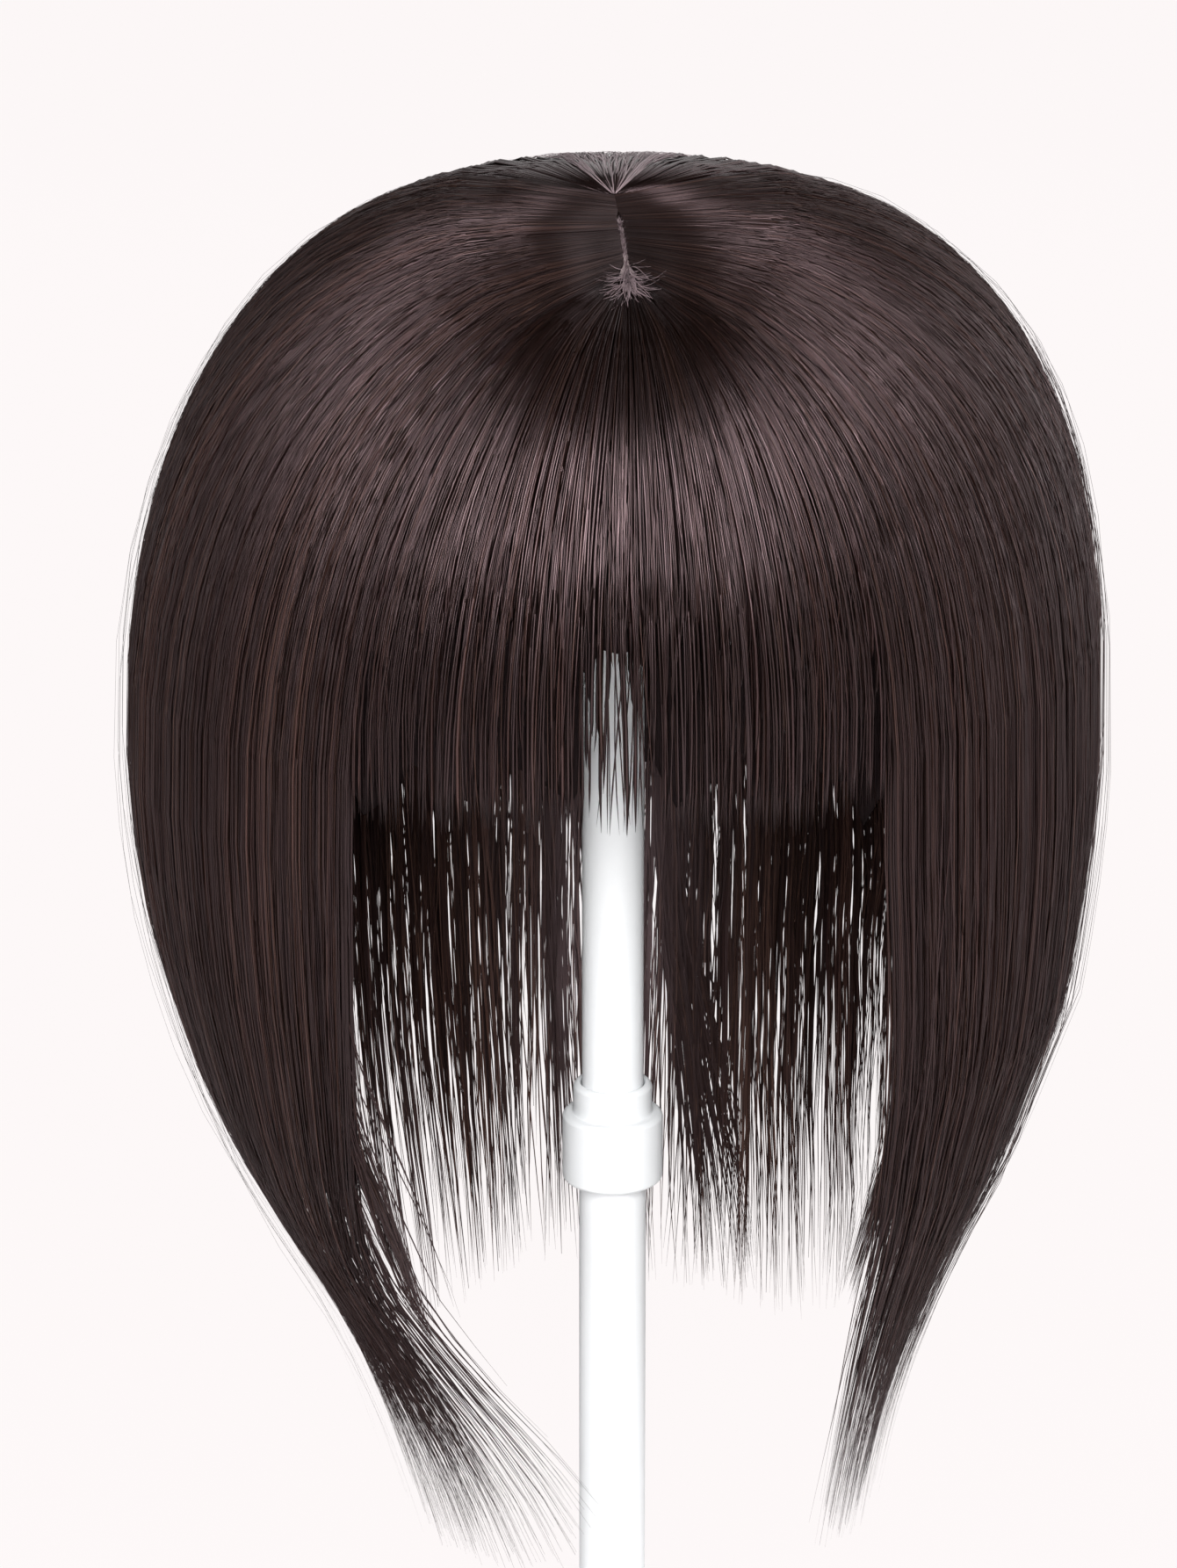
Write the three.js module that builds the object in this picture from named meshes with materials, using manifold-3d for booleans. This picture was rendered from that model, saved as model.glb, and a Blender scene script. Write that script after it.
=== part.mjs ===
// A hair topper with a full fringe and a centre parting, resting on a plain white stand.
// Millimetres, +Z up. The origin is the middle of the foot's underside, and the fringe faces -Y.
import * as THREE from 'three';
import { mergeVertices } from 'three/addons/utils/BufferGeometryUtils.js';
import Module from 'manifold-3d';

const wasm = await Module();
wasm.setup();

// Hair, driving sizes
const HAIR_HALF_WIDTH = 104;
const HAIR_DEPTH_FRONT = 92;
const HAIR_DEPTH_BACK = 88;
const CROWN_RISE = 125;
const HAIR_DROP = 304;
const FRINGE_DROP = 117;
const PLAN_SQUARENESS = 2.3;
const CROWN_SQUARENESS = 2.55;
const CROWN_LOPSIDE = 0.2;
const ROOT_THICKNESS = 1.2;
const CROWN_THICKNESS = 4;
const SIDE_THICKNESS = 7;
const TIP_THICKNESS = 2.4;
const THICKENS_PAST_BASE = 0.069;
const CLUMP_DEPTH = 1.5;

// Parting and whorl
const PARTING_FRONT_X = 2.7;
const PARTING_FRONT_Y = -45;
const PARTING_BACK_Y = -10;
const PARTING_WIDTH = 1.4;
const WHORL_RADIUS = 3;

// Where the side hair starts and stops round the widest level
const LEFT_EDGE_SHARE = 0.53;
const RIGHT_EDGE_SHARE = 0.55;
const BACK_EDGE_ANGLE = THREE.MathUtils.degToRad(118);

// Base and clips
const BASE_HALF_WIDTH = 57;
const BASE_HALF_DEPTH = 61;
const BASE_WALL = 1.5;
const CLIP_LENGTH = 28;
const CLIP_WIDTH = 9;
const CLIP_WALL = 1.6;
const CLIP_INSET = 13;
const CLIP_END_SHARE = 0.6;

// Stand
const CAP_WALL = 3;
const CAP_SKIRT = 22;
const CAP_INSET = 2;
const CAP_CORNER = 4;
const BOSS_WALL = 2.5;
const BOSS_DEPTH = 26;
const UPPER_POST_RADIUS = 6.75;
const LOWER_POST_RADIUS = 7.4;
const COLLAR_WALL = 3.4;
const COLLAR_HEIGHT = 16;
const COLLAR_NECK_WALL = 1.65;
const COLLAR_NECK_HEIGHT = 7;
const COLLAR_DROP = 205;
const COLLAR_WEB = 2;
const POST_SHORT = 1;
const EDGE_BEVEL = 0.8;
const TIP_CLEARANCE = 64;
const FOOT_RADIUS = 66;
const FOOT_THICKNESS = 8;
const FOOT_HUB_WALL = 6.3;
const FOOT_HUB_HEIGHT = 12;
const FOOT_SOCKET_DEPTH = 14;

// Clearances
const GAP = 0.55;
const SEAM = 0.6;
const POST_GAP = 0.3;

// Sides of the round pieces, and the longest facets of the domed ones
const SMALL_ROUND_SIDES = 28;
const LARGE_ROUND_SIDES = 36;
const DOME_FACET = 9;
const RIM_FACET = 11;

const CROWN_Z = FOOT_THICKNESS + TIP_CLEARANCE + HAIR_DROP;
const RING_Z = CROWN_Z - CROWN_RISE;

// Share of the way over the crown from which the hair thickens, a little past the base's edge.
const BASE_EDGE = Math.max(
  BASE_HALF_WIDTH / HAIR_HALF_WIDTH,
  BASE_HALF_DEPTH / HAIR_DEPTH_FRONT,
  BASE_HALF_DEPTH / HAIR_DEPTH_BACK,
);
const THICKENS_FROM = (2 / Math.PI) * Math.asin(BASE_EDGE ** (CROWN_SQUARENESS / 2)) + THICKENS_PAST_BASE;

// How the hair narrows below its widest level. at: share of the way from there down to the longest
// tips. left, right, front and back: shares of the widest half-width or depth. leftEdge, rightEdge:
// how far out the front edge of each lock lies, as a share of the half-width there.
const HANG = [
  { at: 0.0, left: 1.0, right: 1.0, front: 1.0, back: 1.0, leftEdge: 0.53, rightEdge: 0.55 },
  { at: 0.1, left: 0.99, right: 0.99, front: 0.99, back: 0.99, leftEdge: 0.535, rightEdge: 0.565 },
  { at: 0.2, left: 0.965, right: 0.97, front: 0.97, back: 0.97, leftEdge: 0.55, rightEdge: 0.585 },
  { at: 0.3, left: 0.92, right: 0.945, front: 0.94, back: 0.93, leftEdge: 0.575, rightEdge: 0.6 },
  { at: 0.4, left: 0.87, right: 0.885, front: 0.9, back: 0.89, leftEdge: 0.61, rightEdge: 0.63 },
  { at: 0.5, left: 0.8, right: 0.835, front: 0.85, back: 0.84, leftEdge: 0.66, rightEdge: 0.66 },
  { at: 0.6, left: 0.71, right: 0.755, front: 0.8, back: 0.8, leftEdge: 0.7, rightEdge: 0.7 },
  { at: 0.7, left: 0.61, right: 0.69, front: 0.74, back: 0.75, leftEdge: 0.66, rightEdge: 0.74 },
  { at: 0.8, left: 0.545, right: 0.635, front: 0.68, back: 0.71, leftEdge: 0.56, rightEdge: 0.78 },
  { at: 0.9, left: 0.49, right: 0.595, front: 0.62, back: 0.67, leftEdge: 0.48, rightEdge: 0.8 },
  { at: 1.0, left: 0.45, right: 0.57, front: 0.58, back: 0.64, leftEdge: 0.42, rightEdge: 0.8 },
];

// Where each section of hair ends. across: share of the way over the section, from its front edge
// on a side and from right to left at the back. The other columns are shares of the hair's drop, or
// of the fringe's own drop.
const TIPS = [
  { across: 0.0, left: 0.93, right: 0.97, back: 0.91, fringe: 1.0 },
  { across: 0.15, left: 0.985, right: 1.0, back: 0.88, fringe: 1.01 },
  { across: 0.35, left: 1.0, right: 0.99, back: 0.93, fringe: 0.99 },
  { across: 0.6, left: 0.95, right: 0.95, back: 0.9, fringe: 1.0 },
  { across: 0.8, left: 0.92, right: 0.93, back: 0.94, fringe: 1.01 },
  { across: 1.0, left: 0.89, right: 0.91, back: 0.91, fringe: 0.97 },
];

// Where the clips lie round the base, in degrees from the front towards +X.
const CLIP_TURNS = { clip_front: 0, clip_right: 90, clip_back: 180, clip_left: 270 };

const CLUMPS = { left: 5, right: 5, back: 6, fringe: 5 };

const mix = THREE.MathUtils.lerp;
const smooth = THREE.MathUtils.smoothstep;

// Value of one column between the rows of a table.
function tableValue(table, key, column, value) {
  const next = Math.max(1, table.findIndex((row) => row[key] >= Math.min(value, 1)));
  const [low, high] = [table[next - 1], table[next]];
  const share = THREE.MathUtils.clamp((value - low[key]) / (high[key] - low[key]), 0, 1);
  return mix(low[column], high[column], share);
}

// The crown

const powered = (value, power) => Math.sign(value) * Math.abs(value) ** power;

// The widest level in plan, as shares of the half-width and depth. The angle runs from the front
// towards +X.
function ringShare(angle) {
  return {
    x: powered(Math.sin(angle), 2 / PLAN_SQUARENESS),
    y: -powered(Math.cos(angle), 2 / PLAN_SQUARENESS),
  };
}

const angleOfEdge = (share) => Math.asin(share ** (PLAN_SQUARENESS / 2));
const depthToward = (y) => (y < 0 ? HAIR_DEPTH_FRONT : HAIR_DEPTH_BACK);

// Height of the crown over a plan place given in shares, from 0 at the widest level to 1 on top.
function crownShare(x, y) {
  const reach = (Math.abs(x) ** PLAN_SQUARENESS + Math.abs(y) ** PLAN_SQUARENESS) ** (1 / PLAN_SQUARENESS);
  const power = CROWN_SQUARENESS + CROWN_LOPSIDE * THREE.MathUtils.clamp(x, -1, 1);
  return Math.max(0, 1 - Math.min(reach, 1) ** power) ** (1 / power);
}

// A point on the layer that lies a given depth under the hair's outer form.
function crownPoint(x, y, under) {
  return new THREE.Vector3(
    x * (HAIR_HALF_WIDTH - under),
    y * (depthToward(y) - under),
    RING_Z + (CROWN_RISE - under) * crownShare(x, y),
  );
}

// Height of that layer over a plan place in millimetres.
function layerHeight(x, y, under) {
  const high = crownShare(x / (HAIR_HALF_WIDTH - under), y / (depthToward(y) - under));
  return RING_Z + (CROWN_RISE - under) * high;
}

// Closed meshes

function closedGeometry(points, triangles) {
  const geometry = new THREE.BufferGeometry();
  geometry.setAttribute('position', new THREE.Float32BufferAttribute(points.flatMap((p) => p.toArray()), 3));
  geometry.setIndex(triangles.flat());
  return geometry;
}

// A wall between two grids of points, outer and inner, each a list of rows of the same length.
function wallBetween(outer, inner) {
  const rows = outer.length;
  const columns = outer[0].length;
  const points = [...outer.flat(), ...inner.flat()];
  const triangles = [];
  const out = (i, j) => i * columns + j;
  const into = (i, j) => rows * columns + i * columns + j;
  const quad = (a, b, c, d) => triangles.push([a, b, c], [a, c, d]);
  for (let i = 0; i < rows - 1; i += 1) {
    for (let j = 0; j < columns - 1; j += 1) {
      quad(out(i, j), out(i, j + 1), out(i + 1, j + 1), out(i + 1, j));
      quad(into(i, j), into(i + 1, j), into(i + 1, j + 1), into(i, j + 1));
    }
  }
  for (let j = 0; j < columns - 1; j += 1) {
    quad(out(0, j), into(0, j), into(0, j + 1), out(0, j + 1));
    quad(out(rows - 1, j), out(rows - 1, j + 1), into(rows - 1, j + 1), into(rows - 1, j));
  }
  for (let i = 0; i < rows - 1; i += 1) {
    quad(out(i, 0), out(i + 1, 0), into(i + 1, 0), into(i, 0));
    quad(out(i, columns - 1), into(i, columns - 1), into(i + 1, columns - 1), out(i + 1, columns - 1));
  }
  return closedGeometry(points, triangles);
}

// A closed form made of rings of points from one pole to the other.
function ringedForm(top, rings, bottom) {
  const count = rings[0].length;
  const points = [top, ...rings.flat(), bottom];
  const at = (i, j) => 1 + i * count + (j % count);
  const triangles = [];
  for (let j = 0; j < count; j += 1) {
    triangles.push([0, at(0, j), at(0, j + 1)]);
    triangles.push([points.length - 1, at(rings.length - 1, j + 1), at(rings.length - 1, j)]);
    for (let i = 0; i < rings.length - 1; i += 1) {
      triangles.push([at(i, j), at(i + 1, j), at(i + 1, j + 1)], [at(i, j), at(i + 1, j + 1), at(i, j + 1)]);
    }
  }
  return closedGeometry(points, triangles);
}

// Turns a geometry inside out when its volume is negative, so that its faces point out.
function facingOut(geometry) {
  const place = geometry.getAttribute('position');
  const index = geometry.getIndex();
  const [a, b, c] = [new THREE.Vector3(), new THREE.Vector3(), new THREE.Vector3()];
  let volume = 0;
  for (let i = 0; i < index.count; i += 3) {
    a.fromBufferAttribute(place, index.getX(i));
    b.fromBufferAttribute(place, index.getX(i + 1));
    c.fromBufferAttribute(place, index.getX(i + 2));
    volume += a.dot(b.cross(c));
  }
  if (volume < 0) {
    index.array.reverse();
  }
  return geometry;
}

function merged(geometry) {
  const bare = geometry.clone();
  bare.deleteAttribute('normal');
  bare.deleteAttribute('uv');
  return mergeVertices(bare, 1e-4);
}

function toSolid(geometry) {
  const plain = merged(geometry);
  return new wasm.Manifold(new wasm.Mesh({
    numProp: 3,
    vertProperties: new Float32Array(plain.getAttribute('position').array),
    triVerts: new Uint32Array(plain.getIndex().array),
  }));
}

function fromSolid(solid) {
  const mesh = solid.getMesh();
  const geometry = new THREE.BufferGeometry();
  geometry.setAttribute('position', new THREE.BufferAttribute(mesh.vertProperties, 3));
  geometry.setIndex(new THREE.BufferAttribute(mesh.triVerts, 1));
  return geometry;
}

// Hair

const partingX = (y) => PARTING_FRONT_X * THREE.MathUtils.clamp(
  (y - PARTING_BACK_Y) / (PARTING_FRONT_Y - PARTING_BACK_Y), 0, 1);

// Where a strand of the side hair leaves the parting. The edge opens round both whorls.
function sideRoot(side, across) {
  const turn = THREE.MathUtils.degToRad(12);
  const start = PARTING_FRONT_Y - WHORL_RADIUS * Math.sin(turn) + SEAM;
  const end = PARTING_BACK_Y + WHORL_RADIUS * Math.sin(turn) - SEAM;
  const y = mix(start, end, across);
  const opening = Math.max(1 - smooth(across, 0, 0.12), smooth(across, 0.88, 1));
  const away = mix(PARTING_WIDTH / 2, WHORL_RADIUS * Math.cos(turn), opening);
  return { x: partingX(y) + side * away, y };
}

// Where a strand leaves the circle round either end of the parting, at an angle from the front.
function whorlRoot(y, angle) {
  return { x: partingX(y) + WHORL_RADIUS * Math.sin(angle), y: y - WHORL_RADIUS * Math.cos(angle) };
}

const WHORL_TURN = THREE.MathUtils.degToRad(78);
const sideColumn = (x) => (x < 0 ? 'left' : 'right');
const seamAngle = (down, column) => (SEAM / 2) / (HAIR_HALF_WIDTH * tableValue(HANG, 'at', column, down));

// Each section gives a strand's root and its angle round the hair, for a share across the section
// and a share down below the widest level.
const SECTIONS = {
  left: {
    drop: HAIR_DROP,
    root: (across) => sideRoot(-1, across),
    angle: (across, down) => -mix(
      angleOfEdge(tableValue(HANG, 'at', 'leftEdge', down)) + seamAngle(down, 'left'),
      BACK_EDGE_ANGLE - seamAngle(down, 'left'), across),
  },
  right: {
    drop: HAIR_DROP,
    root: (across) => sideRoot(1, across),
    angle: (across, down) => mix(
      angleOfEdge(tableValue(HANG, 'at', 'rightEdge', down)) + seamAngle(down, 'right'),
      BACK_EDGE_ANGLE - seamAngle(down, 'right'), across),
  },
  back: {
    drop: HAIR_DROP,
    root: (across) => whorlRoot(PARTING_BACK_Y, mix(Math.PI - WHORL_TURN, Math.PI + WHORL_TURN, across)),
    angle: (across, down) => mix(
      BACK_EDGE_ANGLE + seamAngle(down, 'right'),
      2 * Math.PI - BACK_EDGE_ANGLE - seamAngle(down, 'left'), across),
  },
  fringe: {
    drop: FRINGE_DROP,
    root: (across) => whorlRoot(PARTING_FRONT_Y, mix(-WHORL_TURN, WHORL_TURN, across)),
    angle: (across, down) => mix(
      -angleOfEdge(LEFT_EDGE_SHARE) + seamAngle(down, 'left'),
      angleOfEdge(RIGHT_EDGE_SHARE) - seamAngle(down, 'right'), across),
  },
};

// Plan place of a strand on the crown, in shares, a given part of the way out to the widest level.
function crownPlan(root, angle, out) {
  const rim = ringShare(angle);
  return {
    x: mix(root.x / HAIR_HALF_WIDTH, rim.x, out),
    y: mix(root.y / depthToward(root.y), rim.y, out),
  };
}

// How far out towards the widest level a strand reaches a given height share, found by halving.
function outAtHeight(root, angle, height) {
  let near = 0;
  let far = 1;
  for (let step = 0; step < 30; step += 1) {
    const middle = (near + far) / 2;
    const place = crownPlan(root, angle, middle);
    if (crownShare(place.x, place.y) > height) {
      near = middle;
    } else {
      far = middle;
    }
  }
  return near;
}

// A hanging point below the widest level, a given depth under the outer form.
function hangPoint(angle, down, under) {
  const rim = ringShare(angle);
  const wide = HAIR_HALF_WIDTH * tableValue(HANG, 'at', sideColumn(rim.x), down) - under;
  const deep = depthToward(rim.y) * tableValue(HANG, 'at', rim.y < 0 ? 'front' : 'back', down) - under;
  return new THREE.Vector3(rim.x * wide, rim.y * deep, RING_Z - down * (HAIR_DROP - CROWN_RISE));
}

// Thickness of the hair and the depth of the hollows between its clumps, at a share of the strand
// over the crown and a share of it below.
function thicknessAt(onCrown, down) {
  const grown = mix(ROOT_THICKNESS, CROWN_THICKNESS, smooth(onCrown, 0, 0.2));
  const full = mix(grown, SIDE_THICKNESS, smooth(onCrown, THICKENS_FROM, 1));
  return mix(full, TIP_THICKNESS, smooth(down, 0.25, 1));
}

function clumpAt(name, across, onCrown, down) {
  const wave = 0.5 - 0.5 * Math.cos(2 * Math.PI * CLUMPS[name] * across);
  return CLUMP_DEPTH * (1 - wave) * smooth(onCrown, 0.3, 1) * mix(1, 0.4, down);
}

// The outer and inner points of one strand line of a section.
function strandLine(name, across, crownSteps, hangSteps) {
  const section = SECTIONS[name];
  const root = section.root(across);
  const hangs = section.drop > CROWN_RISE;
  const wantedDrop = section.drop * tableValue(TIPS, 'across', name, across);
  const dropEnd = hangs ? Math.max(wantedDrop, CROWN_RISE + 1) : Math.min(wantedDrop, CROWN_RISE - 1);
  const rimAngle = section.angle(across, 0);
  const reach = hangs ? 1 : outAtHeight(root, rimAngle, 1 - dropEnd / CROWN_RISE);
  const outer = [];
  const inner = [];
  for (let step = 0; step <= crownSteps; step += 1) {
    const share = step / crownSteps;
    const out = reach * Math.sin(share * Math.PI / 2) ** (2 / CROWN_SQUARENESS);
    const place = crownPlan(root, rimAngle, out);
    const thick = thicknessAt(share, 0);
    const floor = mix(CROWN_THICKNESS, SIDE_THICKNESS, smooth(share, THICKENS_FROM, 1));
    outer.push(crownPoint(place.x, place.y, floor - thick + clumpAt(name, across, share, 0)));
    inner.push(crownPoint(place.x, place.y, floor));
  }
  for (let step = 1; step <= hangSteps && hangs; step += 1) {
    const down = (step / hangSteps) * (dropEnd - CROWN_RISE) / (HAIR_DROP - CROWN_RISE);
    const angle = section.angle(across, down);
    outer.push(hangPoint(angle, down, clumpAt(name, across, 1, down)));
    inner.push(hangPoint(angle, down, clumpAt(name, across, 1, down) + thicknessAt(1, down)));
  }
  return { outer, inner };
}

function hairGeometry(name, acrossSteps, crownSteps, hangSteps) {
  const lines = [];
  for (let step = 0; step <= acrossSteps; step += 1) {
    lines.push(strandLine(name, step / acrossSteps, crownSteps, hangSteps));
  }
  return wallBetween(lines.map((line) => line.outer), lines.map((line) => line.inner));
}

// Base and cap

const BASE_OUTER = CROWN_THICKNESS + GAP;
const BASE_INNER = BASE_OUTER + BASE_WALL;
const CLIP_OUTER = BASE_INNER + GAP;
const CLIP_INNER = CLIP_OUTER + CLIP_WALL;
const CAP_OUTER = CLIP_INNER + GAP;
const CAP_INNER = CAP_OUTER + CAP_WALL;

// The domed pieces get more facets as the base grows, so that their layers keep apart.
const BASE_REACH = Math.max(BASE_HALF_WIDTH, BASE_HALF_DEPTH);
const OVAL_SIDES = 4 * Math.ceil((2 * Math.PI * BASE_REACH) / (4 * RIM_FACET));
const DOME_RINGS = Math.ceil(BASE_REACH / DOME_FACET);

// Shares of the way out for the rings of a domed piece.
function domeShares(rings) {
  return Array.from({ length: rings }, (_, ring) => (ring + 1) / rings);
}

// A ring of points on a layer, at a share of an oval's half-width and depth.
function ovalRing(share, halfWidth, halfDepth, under, lower = 0) {
  const ring = [];
  for (let step = 0; step < OVAL_SIDES; step += 1) {
    const turn = (2 * Math.PI * step) / OVAL_SIDES;
    const x = share * halfWidth * Math.sin(turn);
    const y = share * halfDepth * Math.cos(turn);
    ring.push(new THREE.Vector3(x, y, layerHeight(x, y, under) - lower));
  }
  return ring;
}

const topOf = (under) => new THREE.Vector3(0, 0, layerHeight(0, 0, under));

function baseGeometry() {
  const shares = domeShares(DOME_RINGS);
  const ring = (share, under) => ovalRing(share, BASE_HALF_WIDTH, BASE_HALF_DEPTH, under);
  const rings = [
    ...shares.map((share) => ring(share, BASE_OUTER)),
    ...shares.map((share) => ring(share, BASE_INNER)).reverse(),
  ];
  return ringedForm(topOf(BASE_OUTER), rings, topOf(BASE_INNER));
}

// The cap: a dome under the base, with a rounded edge turned down into a skirt.
function capShellGeometry() {
  const shares = domeShares(DOME_RINGS - 1);
  const cornerTurns = [30, 60, 90].map(THREE.MathUtils.degToRad);
  const wide = BASE_HALF_WIDTH - CAP_INSET;
  const deep = BASE_HALF_DEPTH - CAP_INSET;
  const skirtRing = (grow, lower) => ovalRing(1, wide, deep, CAP_OUTER, lower)
    .map((p) => new THREE.Vector3(p.x * (1 + grow / wide), p.y * (1 + grow / deep), p.z));
  const inside = 1 - CAP_INSET / wide;
  const rings = [
    ...shares.map((share) => ovalRing(share, wide, deep, CAP_OUTER)),
    ...cornerTurns.map((turn) => skirtRing(CAP_CORNER * Math.sin(turn), CAP_CORNER * (1 - Math.cos(turn)))),
    skirtRing(CAP_CORNER, CAP_SKIRT),
    skirtRing(CAP_CORNER - CAP_WALL, CAP_SKIRT),
    skirtRing(CAP_CORNER - CAP_WALL, CAP_CORNER + CAP_WALL),
    ...shares.map((share) => ovalRing(share * inside, wide, deep, CAP_INNER)).reverse(),
  ];
  return ringedForm(topOf(CAP_OUTER), rings, topOf(CAP_INNER));
}

// A turned piece whose profile starts and ends on the axis, or closes on itself.
function turned(profile, segments) {
  return new THREE.LatheGeometry(profile.map(([r, z]) => new THREE.Vector2(r, z)), segments)
    .rotateX(Math.PI / 2);
}

const POST_TOP = CROWN_Z - CAP_INNER - POST_SHORT;

function capGeometry() {
  const low = POST_TOP - BOSS_DEPTH;
  const high = POST_TOP + CAP_WALL / 2 + POST_SHORT;
  const outerRadius = UPPER_BORE + BOSS_WALL;
  const boss = turned([
    [UPPER_BORE, low], [outerRadius, low], [outerRadius, high], [0, high],
    [0, POST_TOP + POST_GAP], [UPPER_BORE, POST_TOP + POST_GAP], [UPPER_BORE, low],
  ], SMALL_ROUND_SIDES);
  return fromSolid(toSolid(facingOut(merged(capShellGeometry()))).add(toSolid(facingOut(merged(boss)))));
}

// A clip: a plain curved bar that follows the base's underside, long side along the base's edge.
function clipGeometry(turn) {
  const away = new THREE.Vector2(Math.sin(turn), -Math.cos(turn));
  const along = new THREE.Vector2(-away.y, away.x);
  const reach = Math.abs(away.x) * BASE_HALF_WIDTH + Math.abs(away.y) * BASE_HALF_DEPTH - CLIP_INSET;
  const longSteps = [-1, -0.9, -0.6, -0.3, 0, 0.3, 0.6, 0.9, 1];
  const grid = (under) => longSteps.map((long) => [-0.5, 0, 0.5].map((wide) => {
    const narrow = Math.abs(long) === 1 ? CLIP_END_SHARE : 1;
    const x = away.x * (reach + wide * narrow * CLIP_WIDTH) + along.x * long * CLIP_LENGTH / 2;
    const y = away.y * (reach + wide * narrow * CLIP_WIDTH) + along.y * long * CLIP_LENGTH / 2;
    return new THREE.Vector3(x, y, layerHeight(x, y, under));
  }));
  return wallBetween(grid(CLIP_OUTER), grid(CLIP_INNER));
}

// Stand

const COLLAR_TOP = CROWN_Z - COLLAR_DROP;
const COLLAR_BOTTOM = COLLAR_TOP - COLLAR_NECK_HEIGHT - COLLAR_HEIGHT;
const COLLAR_MIDDLE = (COLLAR_TOP + COLLAR_BOTTOM) / 2;
const UPPER_SEAT = COLLAR_MIDDLE + COLLAR_WEB / 2;
const LOWER_SEAT = COLLAR_MIDDLE - COLLAR_WEB / 2;
const FOOT_SEAT = FOOT_THICKNESS + FOOT_HUB_HEIGHT - FOOT_SOCKET_DEPTH;
const UPPER_BORE = UPPER_POST_RADIUS + POST_GAP;
const LOWER_BORE = LOWER_POST_RADIUS + POST_GAP;
const COLLAR_NECK_RADIUS = UPPER_BORE + COLLAR_NECK_WALL;
const COLLAR_RADIUS = Math.max(UPPER_BORE, LOWER_BORE) + COLLAR_WALL;
const FOOT_HUB_RADIUS = LOWER_BORE + FOOT_HUB_WALL;

function postGeometry(radius, bottom, top) {
  return turned([[0, bottom], [radius, bottom], [radius, top], [0, top]], SMALL_ROUND_SIDES);
}

// The collar: two stepped rings, bored from above for the upper post and from below for the lower.
function collarGeometry() {
  const step = COLLAR_TOP - COLLAR_NECK_HEIGHT;
  return turned([
    [0, UPPER_SEAT], [UPPER_BORE, UPPER_SEAT], [UPPER_BORE, COLLAR_TOP],
    [COLLAR_NECK_RADIUS - EDGE_BEVEL, COLLAR_TOP], [COLLAR_NECK_RADIUS, COLLAR_TOP - EDGE_BEVEL],
    [COLLAR_NECK_RADIUS, step], [COLLAR_RADIUS - EDGE_BEVEL, step], [COLLAR_RADIUS, step - EDGE_BEVEL],
    [COLLAR_RADIUS, COLLAR_BOTTOM + EDGE_BEVEL], [COLLAR_RADIUS - EDGE_BEVEL, COLLAR_BOTTOM],
    [LOWER_BORE, COLLAR_BOTTOM], [LOWER_BORE, LOWER_SEAT], [0, LOWER_SEAT],
  ], SMALL_ROUND_SIDES);
}

// The foot: a flat disc with a rounded rim and a hub that is bored for the post.
function footGeometry() {
  const hubTop = FOOT_THICKNESS + FOOT_HUB_HEIGHT;
  const rim = FOOT_THICKNESS / 2;
  return turned([
    [0, 0], [FOOT_RADIUS - rim / 2, 0], [FOOT_RADIUS, rim], [FOOT_RADIUS - rim, FOOT_THICKNESS],
    [FOOT_HUB_RADIUS + rim, FOOT_THICKNESS], [FOOT_HUB_RADIUS, FOOT_THICKNESS + rim],
    [FOOT_HUB_RADIUS, hubTop - EDGE_BEVEL], [FOOT_HUB_RADIUS - EDGE_BEVEL, hubTop],
    [LOWER_BORE, hubTop], [LOWER_BORE, FOOT_SEAT], [0, FOOT_SEAT],
  ], LARGE_ROUND_SIDES);
}

// The whole

const hairColour = new THREE.Color(0.055, 0.036, 0.036);
const finishes = {
  hair: { color: hairColour, roughness: 0.42, metalness: 0 },
  skin: { color: new THREE.Color(0.42, 0.36, 0.36), roughness: 0.7, metalness: 0 },
  clip: { color: new THREE.Color(0.03, 0.025, 0.025), roughness: 0.35, metalness: 0.7 },
  white: { color: new THREE.Color(0.86, 0.87, 0.88), roughness: 0.5, metalness: 0 },
};

const group = new THREE.Group();

function addPiece(name, geometry, finish) {
  const mesh = new THREE.Mesh(facingOut(merged(geometry)), new THREE.MeshStandardMaterial(finishes[finish]));
  mesh.name = name;
  group.add(mesh);
}

const lowerPost = postGeometry(LOWER_POST_RADIUS, FOOT_SEAT + POST_GAP, LOWER_SEAT - POST_GAP);
const upperPost = postGeometry(UPPER_POST_RADIUS, UPPER_SEAT + POST_GAP, POST_TOP);

addPiece('stand_foot', footGeometry(), 'white');
addPiece('stand_post_lower', lowerPost, 'white');
addPiece('stand_collar', collarGeometry(), 'white');
addPiece('stand_post_upper', upperPost, 'white');
addPiece('stand_cap', capGeometry(), 'white');
addPiece('topper_base', baseGeometry(), 'skin');
for (const [name, degrees] of Object.entries(CLIP_TURNS)) {
  addPiece(name, clipGeometry(THREE.MathUtils.degToRad(degrees)), 'clip');
}
addPiece('hair_left', hairGeometry('left', 18, 11, 10), 'hair');
addPiece('hair_right', hairGeometry('right', 18, 11, 10), 'hair');
addPiece('hair_back', hairGeometry('back', 20, 12, 8), 'hair');
addPiece('fringe', hairGeometry('fringe', 18, 9, 3), 'hair');

export default group;
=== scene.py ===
"""A straight hair topper with a full fringe and a centre parting, on a plain white stand."""

import logging
import math
from dataclasses import dataclass, field
from enum import Enum

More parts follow.
